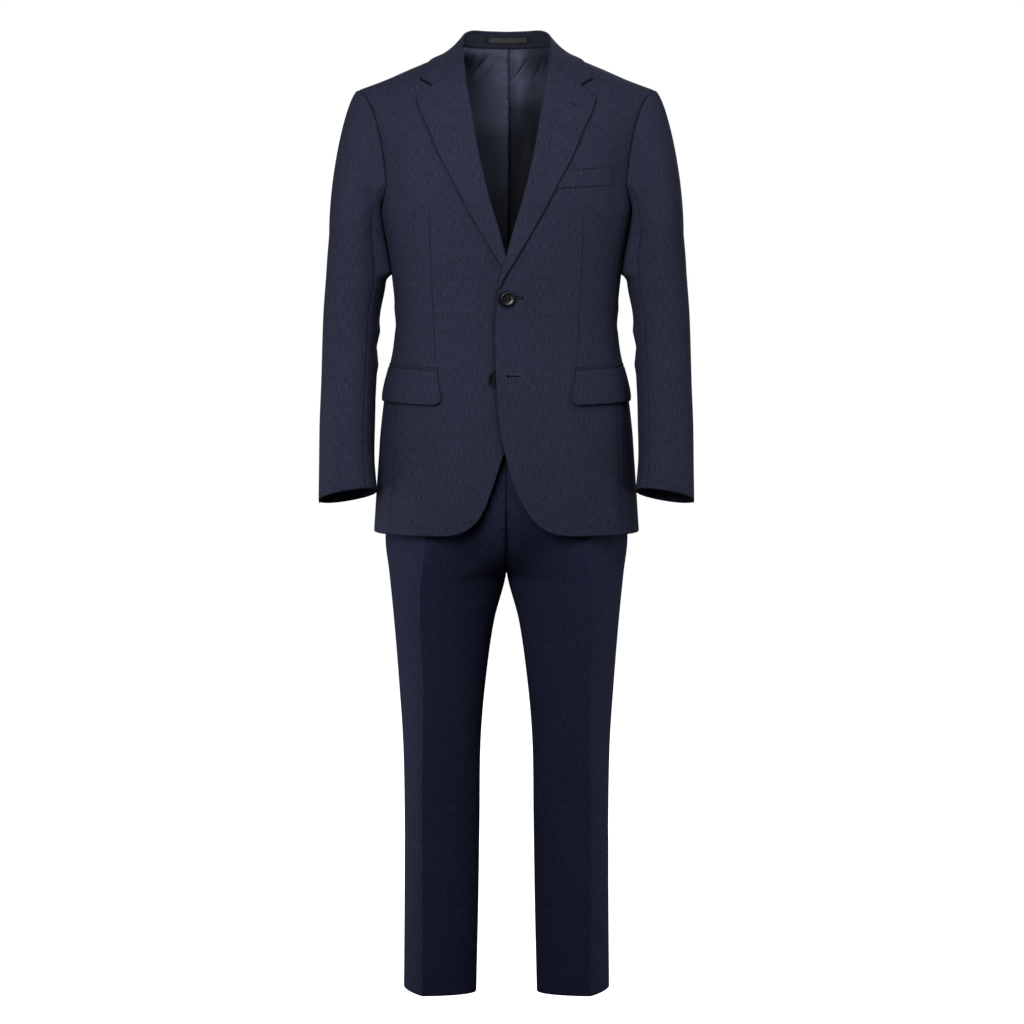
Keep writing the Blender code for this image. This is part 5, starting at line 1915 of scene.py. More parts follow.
    def build_fall(self) -> None:
        """The fall."""
        downs = np.concatenate((steps(-3.0, 0.0, 12)[:-1], steps(0.0, 0.92, 22)[:-1],
                                np.array([0.92, 0.945, 0.965, 0.98, 0.991, 1.0])))
        Sheet(
            name="turned_collar", surface=self.fall, columns=graded(-1.0, 1.0, 170, 0.4),
            rows=downs, finish=self.wardrobe.jacket, node="collar_fall", flat=(0.43, 0.07),
            area=0.0223, edges=(Edge.LAPPED, Edge.LAPPED, Edge.RAW, Edge.TURNED),
            chart=lambda across, along, points: np.stack((across * 0.2, along * 0.05), axis=-1),
            relief=lambda across, along, points: -self.notch_sink * self.notch_mask(
                across, along),
            # The notch mask also paints shade: a painted shadow in the gap at the collar's end.
            shade=lambda across, along, points: self.notch_mask(across, along), upright=False,
            wrinkles=self.fall_wrinkles, rests_on=("back_left", "back_right")).build()

    def build_stand(self) -> None:
        """The stand."""
        reach = self.stand_reach
        self.stand_sheet = Sheet(
            name="inner_stand", surface=lambda across, along: self.stand(across, along, 0.0),
            columns=graded(-reach, reach, 130, 0.34), rows=graded(0.0, 1.0, 14, 0.032),
            finish=self.wardrobe.stand, node="collar_stand", flat=(0.34, 0.034), area=0.0056,
            edges=(Edge.RAW, Edge.RAW, Edge.SEAM, Edge.LAPPED), upright=False,
            chart=lambda across, along, points: np.stack((across * 0.2, along * 0.03), axis=-1),
            wrinkles=self.stand_wrinkles, shade=self.beside_label).build()

    def beside_label(self, across: Array, along: Array, points: Array) -> Array:
        """The painted shadow that the label's border casts on the stand.

        Args:
            across: how far along the stand.
            along: how far up it.
            points: the points there.

        Returns:
            The shade of each.
        """
        aside = np.abs(np.abs(points[..., 0] - self.label_shift) - self.label_half)
        aside = np.where(np.abs(points[..., 0] - self.label_shift) < self.label_half, 0.0, aside)
        low, high = self.label_rows
        above = np.maximum(np.maximum(low - along, along - high), 0.0) * 0.03
        return self.label_shadow * bell(np.hypot(aside, above) / 0.0014)

    def build_label(self) -> None:
        """The bare label, its sewn border and the row of stitches under it."""
        pace = self.table.rows[1][0] / self.table.rows[1][1]
        reach = self.label_half * pace
        shift = self.label_shift * pace
        top = self.label_rows[1]
        lift = REST_GAP + THIN_CLOTH / 2.0
        label = Sheet(
            name="bare_label", surface=lambda across, along: self.stand(
                shift + (across - shift) * (1.0 + self.label_flare * (top - along)), along, lift),
            columns=graded(shift - reach, shift + reach, 36, 0.058),
            rows=graded(*self.label_rows, 8, 0.0105), finish=self.wardrobe.label,
            node="neck_label", flat=(0.06, 0.012), area=0.00068, slot="label_cloth",
            thickness=THIN_CLOTH / 2.0, edges=(Edge.TURNED,) * 4,
            rests_on=("inner_stand",)).build()
        sewing = Sewing("label_stitches", self.wardrobe.thread, 0.0018, 0.0006, 0.0001)
        for edge in range(4):
            border = edge_path(label.grid, edge, 0.0009, 1.0)[0]
            sewing.add(even_marks(border, towards_axis(border), 0.0022))
        line = self.stand_sheet.grid[3, 30:-30]
        sewing.add(even_marks(line, towards_axis(line), 0.0032))
        sewing.build("label_cloth")

    def build(self) -> None:
        """The collar's pieces."""
        self.build_fall()
        self.build_stand()
        self.build_label()


# ---------------------------------------------------------------- sleeves
@dataclass
class Sleeves:
    """Top and under sleeve of each arm, which meet at a front and a back seam."""

    wardrobe: Wardrobe
    levels: Table = Table((
        (-0.27, 0.2305, 0.002, 0.0405, 0.075, 0.0, 0.0),
        (-0.339, 0.2305, 0.001, 0.046, 0.07, 2.0, 0.0),
        (-0.3945, 0.237, -0.005, 0.0434, 0.064, 5.0, 1.0),
        (-0.4926, 0.2405, -0.026, 0.0422, 0.057, 10.0, 3.0),
        (-0.554, 0.2426, -0.042, 0.042, 0.0535, 12.0, 6.0),
        (-0.6157, 0.243, -0.058, 0.0418, 0.0505, 13.0, 10.0),
        (-0.6656, 0.2404, -0.071, 0.0446, 0.0485, 13.0, 9.8),
    ))
    arm_power: float = 2.2
    head_start: float = 0.018
    head_fall: float = 0.42
    underarm_parts: int = 4
    inset: float = 0.01
    slope_step: float = 0.012
    around: float = 0.05
    outer_reach: float = math.radians(130.0)
    vent_angle: float = -0.06
    vent_width: float = 0.09
    vent_drop: float = 0.003
    press_gap: float = 0.001
    press_foot: float = -0.342
    press_fade: float = 0.016
    press_inside: Pair = (0.6, 0.35)
    head_lean: float = 0.4
    head_rows: int = 34
    arm_rows: int = 96
    tuck: float = 0.0032
    wrinkles: ClassVar[dict[Side, Folds]] = {
        Side.LEFT: folds((
            (30, -262, 20, -290, 16, -330, 12, 1.2), (60, -160, 52, -220, 48, -290, 14, 1),
            (88, -130, 80, -200, 84, -280, 12, -1.2), (100, -395, 75, -420, 40, -436, 10, 1.1),
            (112, -430, 84, -448, 52, -470, 9, -0.9), (108, -462, 82, -486, 50, -494, 10, 1),
            (58, -520, 66, -580, 62, -640, 13, 0.8), (-20, -120, -40, -200, -34, -290, 13, 1.8),
            (-62, -110, -74, -180, -70, -270, 12, -2), (-100, -385, -60, -404, -22, -398, 9, 2.2),
            (-108, -410, -66, -430, -26, -430, 8, -1.8), (-104, -440, -58, -452, -20, -462, 9, 2),
            (-50, -520, -58, -580, -52, -650, 13, 1.2),
        )),
        Side.RIGHT: folds((
            (32, -258, 22, -288, 18, -336, 12, 1.2), (62, -150, 50, -215, 50, -300, 14, 0.9),
            (90, -120, 82, -190, 82, -275, 12, -1.2), (104, -388, 78, -410, 46, -424, 10, 1),
            (110, -425, 80, -442, 50, -458, 9, -1), (110, -456, 88, -474, 54, -500, 10, 1),
            (62, -530, 70, -590, 64, -650, 13, 0.8), (-24, -125, -36, -205, -32, -300, 13, 1.7),
            (-66, -105, -70, -175, -74, -265, 12, -1.9), (-104, -392, -64, -408, -18, -410, 9, 2),
            (-106, -420, -62, -436, -22, -436, 8, -1.8), (-106, -448, -60, -464, -24, -470, 9, 1.9),
            (-54, -530, -54, -590, -58, -652, 13, 1.2),
        )),
    }
    under_wrinkles: ClassVar[Folds] = folds((
        (-120, -300, -150, -330, -185, -325, 11, 1.6), (-125, -405, -155, -425, -195, -415, 9, 2),
        (-120, -432, -158, -448, -192, -442, 8, -1.8), (-124, -458, -152, -476, -190, -466, 9, 1.8),
        (-150, -520, -154, -590, -150, -650, 13, 1),
    ))

    def stations(self) -> int:
        """How many stations there are round the armhole."""
        return 2 * FORM.arm_rows + self.underarm_parts

    def armhole(self, station: Array) -> Array:
        """The armhole: up the front, down the back, then under the arm.

        Args:
            station: how far round it, in rows.

        Returns:
            The points.
        """
        rows = FORM.arm_rows
        span = 1.0 - FORM.notch_rise
        share = (station - 2 * rows) / self.underarm_parts
        low_turn = FORM.arm_turn * (2.0 * share - 1.0)
        behind = station > rows
        under = station > 2 * rows
        turn = np.where(under, low_turn, np.where(behind, -FORM.arm_turn, FORM.arm_turn))
        up = FORM.notch_rise + span * station / rows
        down = 1.0 - span * (station - rows) / rows
        rise = np.where(under, FORM.underarm_rise(low_turn), np.where(behind, down, up))
        return FORM.point(turn, rise) + stack(SEAM, 0.0, 0.0)

    def angle(self, station: Array) -> Array:
        """The angle of a station round the arm: 0 outside, a quarter turn in front.

        Args:
            station: how far round the armhole, in rows.

        Returns:
            The angles.
        """
        reach = self.outer_reach
        rows = FORM.arm_rows
        share = (station - 2 * rows) / self.underarm_parts
        under = -reach - (2.0 * math.pi - 2.0 * reach) * share
        return np.where(station <= 2 * rows, reach * (1.0 - station / rows), under)

    def arm(self, angle: Array, level: Array) -> Array:
        """Points of the arm below the biceps; level is 0 at the biceps and 1 at the cuff.

        Args:
            angle: the angle round the arm.
            level: how far down it.

        Returns:
            The points.
        """
        start = self.levels.rows[0][0]
        end = self.levels.rows[-1][0]
        height = between(start, end, level)
        row = self.levels.read(height)
        across = row[..., 2] * signed_power(np.cos(angle), 2.0 / self.arm_power)
        ahead = row[..., 3] * signed_power(np.sin(angle), 2.0 / self.arm_power)
        drop = across * np.tan(np.radians(row[..., 5])) - ahead * np.tan(np.radians(row[..., 4]))
        beside = np.abs(np.mod(angle - self.vent_angle + math.pi, 2.0 * math.pi) - math.pi)
        drop = drop + self.vent_drop * np.exp(-beside / self.vent_width) * ease((level - 0.9) / 0.1)
        return stack(row[..., 0] + across, row[..., 1] - ahead, height - drop)

    def surface(self, around: Array, down: Array) -> Array:
        """Points of the sleeve: down is 0 to 1 over its head and 1 to 2 down the arm.

        Args:
            around: the share of the way round it.
            down: how far down it.

        Returns:
            The points.
        """
        station = np.mod(around * self.stations(), self.stations())
        angle = self.angle(station)
        tucked = ease(station / FORM.arm_rows - 1.0) * ease((self.stations() - station) / 3.0)
        start = self.armhole(station) - stack(self.tuck * tucked, 0.0, 0.0)
        end = self.arm(angle, np.zeros(angle.shape))
        distance = np.linalg.norm(end - start, axis=-1)
        top_share = np.maximum(np.cos(angle), 0.0) ** 2
        leave = unit(stack(1.0, 0.0, -self.head_lean * top_share))
        leave = leave * np.minimum(self.head_start, 0.2 * distance)[..., None]
        arrive = stack(0.0, 0.0, -self.head_fall * distance)
        part = np.clip(down, 0.0, 1.0)[..., None]
        head = curve(start, start + leave, end - arrive, end, part)
        lower = self.arm(angle, np.maximum(down - 1.0, 0.0))
        point = np.where((down >= 1.0)[..., None], lower, head)
        return self.against_side(point, angle)

    def against_side(self, point: Array, angle: Array) -> Array:
        """The sleeve under the arm, pressed on the side of the jacket down to its foot.

        Args:
            point: the points.
            angle: their angles round the arm.

        Returns:
            The moved points.
        """
        level = FORM.levels.read(np.minimum(point[..., 2], FORM.chest))
        depth = np.where(point[..., 1] < 0.0, -level[..., 1], level[..., 2])
        inside = np.maximum(1.0 - np.abs(point[..., 1] / depth) ** FORM.ring_power, 0.0)
        side = level[..., 0] * inside ** (1.0 / FORM.ring_power) + self.press_gap
        pressed = ease((point[..., 2] - self.press_foot) / self.press_fade)
        start, fade = self.press_inside
        pressed = pressed * ease((-np.cos(angle) - start) / fade)
        return point + stack((side - point[..., 0]) * pressed, 0.0, 0.0)

    def chart(self, across: Array, along: Array, points: Array) -> Array:
        """The angle round the arm, in metres of cloth, and the height."""
        angle = self.angle(across * self.stations())
        return np.stack((angle * self.around, points[..., 2]), axis=-1)

    def build(self) -> None:
        """The four sleeve pieces."""
        count = self.stations()
        turn_over = 2 * FORM.arm_rows - 1
        rows = np.concatenate((np.array([0.0, 0.012, 0.025, 0.04]),
                               steps(0.06, 1.0, self.head_rows),
                               steps(1.0, 1.985, self.arm_rows)[1:],
                               np.array([1.99, 1.9945, 1.998, 2.0])))
        for side in Side:
            for name, first, last, columns, flat, area, wrinkles in (
                    ("top_sleeve", self.inset, turn_over - self.inset, 92, (0.25, 0.64), 0.132,
                     self.wrinkles[side]),
                    ("under_sleeve", turn_over + self.inset, count - self.inset, 50,
                     (0.17, 0.56), 0.054, self.under_wrinkles)):
                Sheet(
                    name=f"{side.word}_{name}", surface=self.surface,
                    columns=graded(first / count, last / count, columns, 0.22), rows=rows,
                    finish=self.wardrobe.jacket, node=f"{name}_{side.word}", flat=flat, area=area,
                    side=side, flip=True, edges=(Edge.SEAM, Edge.SEAM, Edge.SEAM, Edge.TURNED),
                    chart=self.chart, wrinkles=wrinkles, step=self.slope_step).build()


# ---------------------------------------------------------------- pockets
@dataclass
class Pockets:
    """A flap under a jet on each hip, and the slanting welt on the left breast."""

    wardrobe: Wardrobe
    lapels: Lapels
    inner_x: float = 0.1027
    outer_turn: float = math.radians(8.0)
    top: float = -0.4745
    bottom: float = -0.527
    outer_rise: float = 0.004
    corner: float = 0.011
    lean: float = 0.01 / 0.15
    foot_lift: float = 0.0026
    jet_height: float = 0.0045
    welt_outer: Pair = (0.1564, -0.1978)
    welt_inner: float = -0.2035
    welt_height: float = 0.0275
    flap_wrinkles: ClassVar[Folds] = folds(((120, -500, 150, -508, 175, -500, 10, 0.5),))

    def turn(self, across: Array, down: Array) -> Array:
        """Turn on the form across a flap, which leans out a little towards its foot."""
        start = float(FORM.place(self.inner_x, self.top)[0])
        lean = self.lean * down
        return between(start, self.outer_turn, across) + lean * (1.0 - 1.2 * across)

    def rise(self, height: Array) -> Array:
        """Rise on the form at a height under the chest."""
        return (height - FORM.chest) / (FORM.chest - FORM.hem)

    def flap(self, across: Array, down: Array) -> Array:
        """Points of a flap.

        Args:
            across: how far across it.
            down: how far down it.

        Returns:
            The points.
        """
        near_end = np.maximum(np.abs(across - 0.5) - 0.42, 0.0) / 0.08
        bottom = self.bottom + self.corner * (1.0 - np.sqrt(np.maximum(1.0 - near_end ** 2, 0.0)))
        height = between(self.top, bottom, down) + self.outer_rise * across
        lift = REST_GAP + CLOTH + self.foot_lift * ease(down)
        return FORM.lay(self.turn(across, down), self.rise(height), lift)

    def jet(self, across: Array, down: Array) -> Array:
        """Points of the jet along the pocket's mouth."""
        top = self.top + SEAM + self.jet_height + self.outer_rise * across
        turn = self.turn(across, np.zeros(across.shape))
        return FORM.lay(turn, self.rise(top - self.jet_height * down), REST_GAP + THIN_CLOTH)

    def welt(self, across: Array, up: Array) -> Array:
        """Points of the breast welt.

        Args:
            across: how far across it.
            up: how far up it.

        Returns:
            The points.
        """
        inner_height = self.welt_inner + self.welt_height * up
        inner_x = self.lapels.edge.one(inner_height) + 3.0 * SEAM
        x = between(inner_x, self.welt_outer[0], across)
        rising = self.welt_outer[1] - self.welt_inner
        height = inner_height + rising * across
        turn, rise = FORM.place(x, height)
        lift = FORM.lap_lift(Side.LEFT, x, height) + REST_GAP + THIN_CLOTH
        return FORM.lay(turn, rise, lift)

    def build(self) -> None:
        """All the pocket pieces."""
        ends = np.array([0.0, 0.003, 0.008, 0.015, 0.025, 0.038, 0.055])
        columns = np.concatenate((ends, steps(0.08, 0.92, 34), 1.0 - ends[::-1]))
        for side in Side:
            shared = {"finish": self.wardrobe.jacket, "side": side, "flip": True,
                      "rests_on": (f"front_{side.word}",)}
            Sheet(name=f"{side.word}_hip_flap", surface=self.flap, columns=columns,
                  rows=graded(0.0, 1.0, 22, 0.052), node=f"hip_flap_{side.word}",
                  flat=(0.155, 0.058), area=0.0072, wrinkles=self.flap_wrinkles,
                  edges=(Edge.TURNED, Edge.TURNED, Edge.SEAM, Edge.TURNED), **shared).build()
            Sheet(name=f"{side.word}_hip_jet", surface=self.jet, columns=graded(0.0, 1.0, 40, 0.15),
                  rows=np.array([0.0, 0.12, 0.28, 0.45, 0.62, 0.8, 1.0]),
                  node=f"hip_jet_{side.word}", flat=(0.152, 0.01), area=0.00062,
                  thickness=THIN_CLOTH,
                  edges=(Edge.TURNED, Edge.TURNED, Edge.TURNED, Edge.SEAM), **shared).build()
        Sheet(name="left_breast_welt", surface=self.welt, columns=graded(0.0, 1.0, 40, 0.09),
              rows=graded(0.0, 1.0, 12, 0.0275), finish=self.wardrobe.jacket, node="breast_welt",
              flat=(0.095, 0.03), area=0.0024, thickness=THIN_CLOTH,
              edges=(Edge.RAW, Edge.LAPPED, Edge.SEAM, Edge.TURNED),
              rests_on=("front_left",)).build()


# ---------------------------------------------------------------- buttons
def deselect() -> None:
    """Leave nothing selected."""
    bpy.ops.object.select_all(action="DESELECT")


def select_only(piece: Object) -> None:
    """Select one piece and make it active."""
    deselect()
    piece.select_set(True)
    bpy.context.view_layer.objects.active = piece


def pick(piece: Object, kind: str,
         wanted: Callable[[bmesh.types.BMFace | bmesh.types.BMEdge], bool]) -> None:
    """Select the wanted ones of the faces or edges of the piece in edit mode.

    Args:
        piece: the piece, in edit mode.
        kind: which of its parts to look through.
        wanted: whether one is wanted.
    """
    mesh = bmesh.from_edit_mesh(piece.data)
    for part in (mesh.verts, mesh.edges, mesh.faces):
        for element in part:
            element.select = False
    for element in mesh.faces if kind == "faces" else mesh.edges:
        if wanted(element):
            element.select_set(True)
    bmesh.update_edit_mesh(piece.data)


def settle_in_mesh(piece: Object, matrix: Matrix) -> None:
    """Put a piece's place into its mesh, so that its object stays at the origin."""
    piece.data.transform(matrix @ piece.matrix_basis)
    piece.matrix_basis = Matrix.Identity(4)
    piece.data.update()


@dataclass
class Buttons:
    """Two four-hole horn buttons with a raised rim, their thread and the buttonholes."""

    wardrobe: Wardrobe
    lapels: Lapels
    radius: float = 0.0101
    rim: float = 0.0017
    slope: float = 0.0014
    dish: float = 0.26
    shank: float = 0.003
    hole: float = 0.0013
    hole_reach: float = 0.0031
    top: Place = (0.0022, -0.3663, 0.0034)
    lower: Place = (-0.01, -0.4861, 0.0025)
    top_hole: Place = (0.0124, -0.3645, 0.0205)
    lower_hole: Place = (0.0112, -0.4823, 0.0215)
    lapel_hole: tuple[Pair, Pair] = (
        (0.0942, -0.0755), (0.1077, -0.0815))

    def blank(self, name: str, thick: float) -> Object:
        """A button that lies flat at the origin: turned outline, dish and four holes.

        Args:
            name: its name.
            thick: its thickness.

        Returns:
            The button, face upwards.
        """
        deselect()
        bpy.ops.mesh.primitive_cylinder_add(vertices=48, radius=self.radius, depth=thick,
                                            location=(0.0, 0.0, thick / 2.0))
        button = bpy.context.object
        button.name = name
        button.data.name = name
        settle_in_mesh(button, Matrix.Identity(4))
        bpy.ops.object.mode_set(mode="EDIT")
        pick(button, "faces", lambda face: face.normal.z > 0.9)
        bpy.ops.mesh.inset(thickness=self.rim, depth=0.0)
        bpy.ops.mesh.inset(thickness=self.slope, depth=-self.dish * thick)
        bpy.ops.mesh.inset(thickness=self.radius * 0.22, depth=0.0)
        pick(button, "faces", lambda face: face.normal.z < -0.9)
        bpy.ops.mesh.inset(thickness=self.radius * 0.35, depth=0.0)
        bpy.ops.transform.translate(value=(0.0, 0.0, -0.00001))
        pick(button, "edges", lambda edge: edge.calc_length() < self.radius * 0.14
                   and all(math.hypot(*end.co.xy) > self.radius - 1e-5 for end in edge.verts))
        bpy.ops.mesh.bevel(offset=thick * 0.3, segments=3, affect="EDGES")
        inner = self.radius - self.rim
        pick(button, "edges", lambda edge: all(
            abs(math.hypot(*end.co.xy) - inner) < 1e-4 and end.co.z > thick * 0.9
            for end in edge.verts))
        bpy.ops.mesh.bevel(offset=thick * 0.12, segments=2, affect="EDGES")
        bpy.ops.object.mode_set(mode="OBJECT")
        reach = self.hole_reach / math.sqrt(2.0)
        for across in (-reach, reach):
            for up in (-reach, reach):
                self.drill(button, across, up, thick)
        select_only(button)
        bpy.ops.object.shade_smooth_by_angle(angle=math.radians(40.0))
        return button

    def drill(self, button: Object, across: float, up: float, thick: float) -> None:
        """One hole through a button.

        Args:
            button: the button.
            across: the hole's place across it.
            up: the hole's place up it.
            thick: the button's thickness.
        """
        deselect()
        bpy.ops.mesh.primitive_cylinder_add(vertices=16, radius=self.hole, depth=thick * 3.0,
                                            location=(across, up, thick / 2.0))
        drill = bpy.context.object
        cut = button.modifiers.new("hole", "BOOLEAN")
        cut.operation = "DIFFERENCE"
        cut.solver = "EXACT"
        cut.object = drill
        select_only(button)
        bpy.ops.object.modifier_apply(modifier=cut.name)
        bpy.data.objects.remove(drill, do_unlink=True)

    def seat(self, x: float, height: float, lift: float) -> tuple[Vector, Vector]:
        """The place under a button and the direction that it faces."""
        turn, rise = FORM.place(abs(x), height)
        facing = Vector(FORM.normal(math.pi / 2.0, rise))
        return Vector((x, float(FORM.point(turn, rise)[1]), height)) + facing * lift, facing

    def build_button(self, name: str, size: Place, lift: float,
                     finish: Material) -> None:
        """One button in its place, with its thread.

        Args:
            name: its name.
            size: its x, its height and its thickness.
            lift: how far off the form it sits.
            finish: its finish.
        """
        x, height, thick = size
        seat, facing = self.seat(x, height, lift)
        turn = facing.to_track_quat("Z", "Y").to_matrix().to_4x4()
        button = self.blank(name.replace("front_", ""), thick)
        settle_in_mesh(button, Matrix.Translation(seat) @ turn)
        button.data.materials.clear()
        button.data.materials.append(finish)
        attach(button, "button_horn", name)
        reach = self.hole_reach / math.sqrt(2.0)
        sewing = Sewing(f"{button.name}_thread", self.wardrobe.thread, 2.0 * reach - 0.0004,
                        0.0007, 0.0)
        for up in (-reach, reach):
            spot = seat + turn.to_3x3() @ Vector((0.0, up, (1.0 - self.dish) * thick + 0.0001))
            sewing.marks.append((spot, turn.to_3x3() @ Vector((1.0, 0.0, 0.0)), facing))
        sewing.build("button_horn")
        LOG.info("%s: %.1f mm across", button.name, self.radius * 2000.0)

    def build_holes(self) -> None:
        """The three worked buttonholes of the left front and lapel."""
        along = Vector((1.0, 0.0, 0.0))
        finishes = (self.wardrobe.purl, self.wardrobe.slit)
        for name, (x, height, length), keyed, *widths in (
                ("top_buttonhole", self.top_hole, False, 0.0001, 0.0013, 0.0024),
                ("lower_buttonhole", self.lower_hole, True, 0.0007, 0.0024, 0.0031)):
            lift = float(FORM.lap_lift(Side.LEFT, x, height))
            seat, facing = self.seat(x, height, lift)
            Buttonhole(name, seat, along, facing, length, keyed, *widths).build(*finishes)
        ends = []
        for x, height in self.lapel_hole:
            place = FORM.place(x, height)
            ends.append(Vector(FORM.lay(*place, REST_GAP + CLOTH + SEAM)))
            facing = Vector(FORM.normal(*place))
        way = ends[1] - ends[0]
        Buttonhole("lapel_buttonhole", (ends[0] + ends[1]) / 2.0, way.normalized(), facing,
                   way.length, False, 0.0001, 0.0012, 0.0014).build(
                       self.wardrobe.thread, self.wardrobe.thread)

    def build(self) -> None:
        """Both buttons and all the buttonholes."""
        lift = float(FORM.lap_lift(Side.LEFT, 0.0, self.top[1])) + self.shank
        self.build_button("front_button_top", self.top, lift, self.wardrobe.horn)
        # The lower button takes the darker horn: painted shade under the lapped front edge.
        self.build_button("front_button_lower", self.lower, SEAM, self.wardrobe.dim_horn)
        self.build_holes()


@dataclass
class PickStitches:
    """The small dimpled stitches a little inside the front edges and the lapels' edges."""

    wardrobe: Wardrobe
    panels: JacketPanels
    lapels: Lapels
    inset: float = 0.0026
    pitch: float = 0.0046

    def build(self) -> None:
        """All the pick stitches."""
        sewing = Sewing("pick_stitches", self.wardrobe.thread, 0.0012, 0.0005, 0.0)
        for side in Side:
            front = self.panels.fronts[side]
            sewing.add(even_marks(*front.seam_line(0, self.inset), self.pitch, 0.0, 0.42))
            lapel = self.lapels.sheets[side]
            sewing.add(even_marks(*lapel.seam_line(1, self.inset), self.pitch, 0.05, 0.99))
        sewing.build()


# ---------------------------------------------------------------- trousers
@dataclass
class Trousers:
    """Front and back panel of each leg, and the waistband's two halves."""

    wardrobe: Wardrobe
    waist: float = -0.5
    band: float = 0.036
    crotch: float = -0.79
    hem: float = -1.4385
    fork: float = -0.66
    hem_dip: float = 0.0082
    dip_reach: float = 0.2
    hip_power: float = 2.3
    leg_powers: Pair = (1.25, 1.7)
    crease_turns: Pair = (50.0, 60.0)
    panel_width: float = 0.2
    crease_height: float = 0.0009
    crease_reach: float = 0.004
    fly_top: float = -0.67
    fly_width: Pair = (0.001, 0.0052)
    fly_shade_strength: float = 0.8
    pelvis: Table = Table((
        (-0.5, 0.15, -0.112, 0.102), (-0.6, 0.169, -0.118, 0.113), (-0.69, 0.183, -0.12, 0.118),
        (-0.74, 0.1862, -0.119, 0.117), (-0.79, 0.181, -0.112, 0.113),
    ))
    legs: Table = Table((
        (-0.66, 0.179, 0.0, 0.12, -0.116, -0.0012, 0.006, 0.085, 0.117),
        (-0.7331, 0.1866, 0.0, 0.12, -0.116, -0.0012, 0.006, 0.085, 0.117),
        (-0.79, 0.1805, -0.004, 0.129, -0.108, -0.0002, 0.004, 0.082, 0.112),
        (-0.8635, 0.1732, -0.008, 0.13, -0.099, 0.0186, 0.0, 0.078, 0.1),
        (-0.9568, 0.1657, -0.012, 0.1262, -0.089, 0.0318, 0.0, 0.077, 0.088),
        (-1.0507, 0.1598, -0.014, 0.1275, -0.082, 0.0396, 0.0, 0.076, 0.079),
        (-1.1762, 0.1577, -0.016, 0.1286, -0.074, 0.0415, 0.002, 0.075, 0.07),
        (-1.3022, 0.1584, -0.016, 0.1288, -0.071, 0.0435, 0.004, 0.077, 0.066),
        (-1.4385, 0.1598, -0.016, 0.1286, -0.068, 0.0468, 0.004, 0.08, 0.062),
    ))
    wrinkles: ClassVar[dict[tuple[str, Side], Folds]] = {
        ("front", Side.LEFT): folds((
            (155.4, -1190, 148, -1260, 136.9, -1319.5, 7, 1.1),
            (12, -800, 50, -792, 90, -760, 11, 1), (14, -818, 45, -815, 85, -800, 10, -0.9),
            (150, -880, 145, -960, 148, -1050, 12, 0.9), (60, -900, 66, -1000, 62, -1100, 16, 0.8),
            (60, -1080, 80, -1100, 105, -1092, 12, 0.7),
            (70, -1400, 80, -1412, 110, -1408, 10, 0.6),
        )),
        ("front", Side.RIGHT): folds((
            (152, -1200, 147, -1250, 136.6, -1314.1, 7, 1.1), (10, -806, 46, -796, 92, -768, 11, 1),
            (16, -826, 50, -822, 80, -806, 10, -0.8), (152, -900, 147, -980, 146, -1060, 12, 0.9),
            (62, -920, 60, -1010, 66, -1110, 16, 0.8), (58, -1096, 78, -1112, 100, -1108, 12, 0.7),
            (68, -1396, 78, -1406, 108, -1404, 10, 0.6),
        )),
        ("back", Side.LEFT): folds((
            (15, -790, 60, -815, 120, -802, 12, 2.2), (20, -822, 70, -842, 130, -828, 11, -1.8),
            (30, -850, 80, -868, 125, -856, 12, 1.6), (50, -1060, 80, -1082, 125, -1070, 12, 1.8),
            (55, -1092, 85, -1106, 130, -1100, 10, -1.5),
            (52, -1120, 80, -1138, 120, -1128, 12, 1.5),
            (105, -900, 112, -970, 110, -1040, 14, 1.2),
        )),
        ("back", Side.RIGHT): folds((
            (12, -796, 56, -822, 116, -812, 12, 2.1), (22, -832, 74, -850, 128, -838, 11, -1.7),
            (34, -860, 78, -880, 120, -870, 12, 1.5), (52, -1052, 82, -1072, 122, -1064, 12, 1.7),
            (54, -1084, 80, -1100, 128, -1090, 10, -1.5),
            (56, -1112, 84, -1130, 122, -1124, 12, 1.5),
            (100, -910, 108, -980, 106, -1050, 14, 1.2),
        )),
    }

    def point(self, turn: Array, height: Array, rear: bool) -> Array:
        """Points of the left half: 0 is the side seam, 90 the crease and 180 the middle.

        Args:
            turn: degrees round the leg.
            height: the height.
            rear: whether the back panel is meant.

        Returns:
            The points.
        """
        row = self.pelvis.read(height)
        crease = self.crease_turns[1 if rear else 0]
        beyond = crease + (90.0 - crease) * (turn - 90.0) / 90.0
        angle = np.radians(np.where(turn <= 90.0, crease * turn / 90.0, beyond))
        power = 2.0 / self.hip_power
        hip_x = row[..., 0] * signed_power(np.cos(angle), power)
        hip_y = row[..., 2 if rear else 1] * signed_power(np.sin(angle), power)
        leg = self.legs.read(height)
        crease_x, crease_y = (leg[..., 6], leg[..., 7]) if rear else (leg[..., 2], leg[..., 3])
        leg_angle = np.radians(turn)
        sideways = np.abs(np.cos(leg_angle)) ** (2.0 / self.leg_powers[0])
        ahead = signed_power(np.sin(leg_angle), 2.0 / self.leg_powers[1])
        seam_x = np.where(turn <= 90.0, leg[..., 0], leg[..., 4])
        seam_y = np.where(turn <= 90.0, leg[..., 1], leg[..., 5])
        leg_x = between(crease_x, seam_x, sideways)
        leg_y = between(seam_y, crease_y, ahead)
        parted = np.clip((self.fork - height) / (self.fork - self.crotch), 0.0, 1.0)
        hips = between(1.0 - ease(parted), np.sqrt(1.0 - parted ** 3), ease(turn / 90.0 - 1.0))
        low = 1.0 - ease((height - self.hem) / self.dip_reach)
        dip = self.hem_dip * low * (ease(turn / 90.0 - 1.0) - 0.5 * ease(1.0 - turn / 90.0))
        return stack(hip_x * hips + leg_x * (1.0 - hips) + SEAM / 2.0,
                     hip_y * hips + leg_y * (1.0 - hips), height - dip)

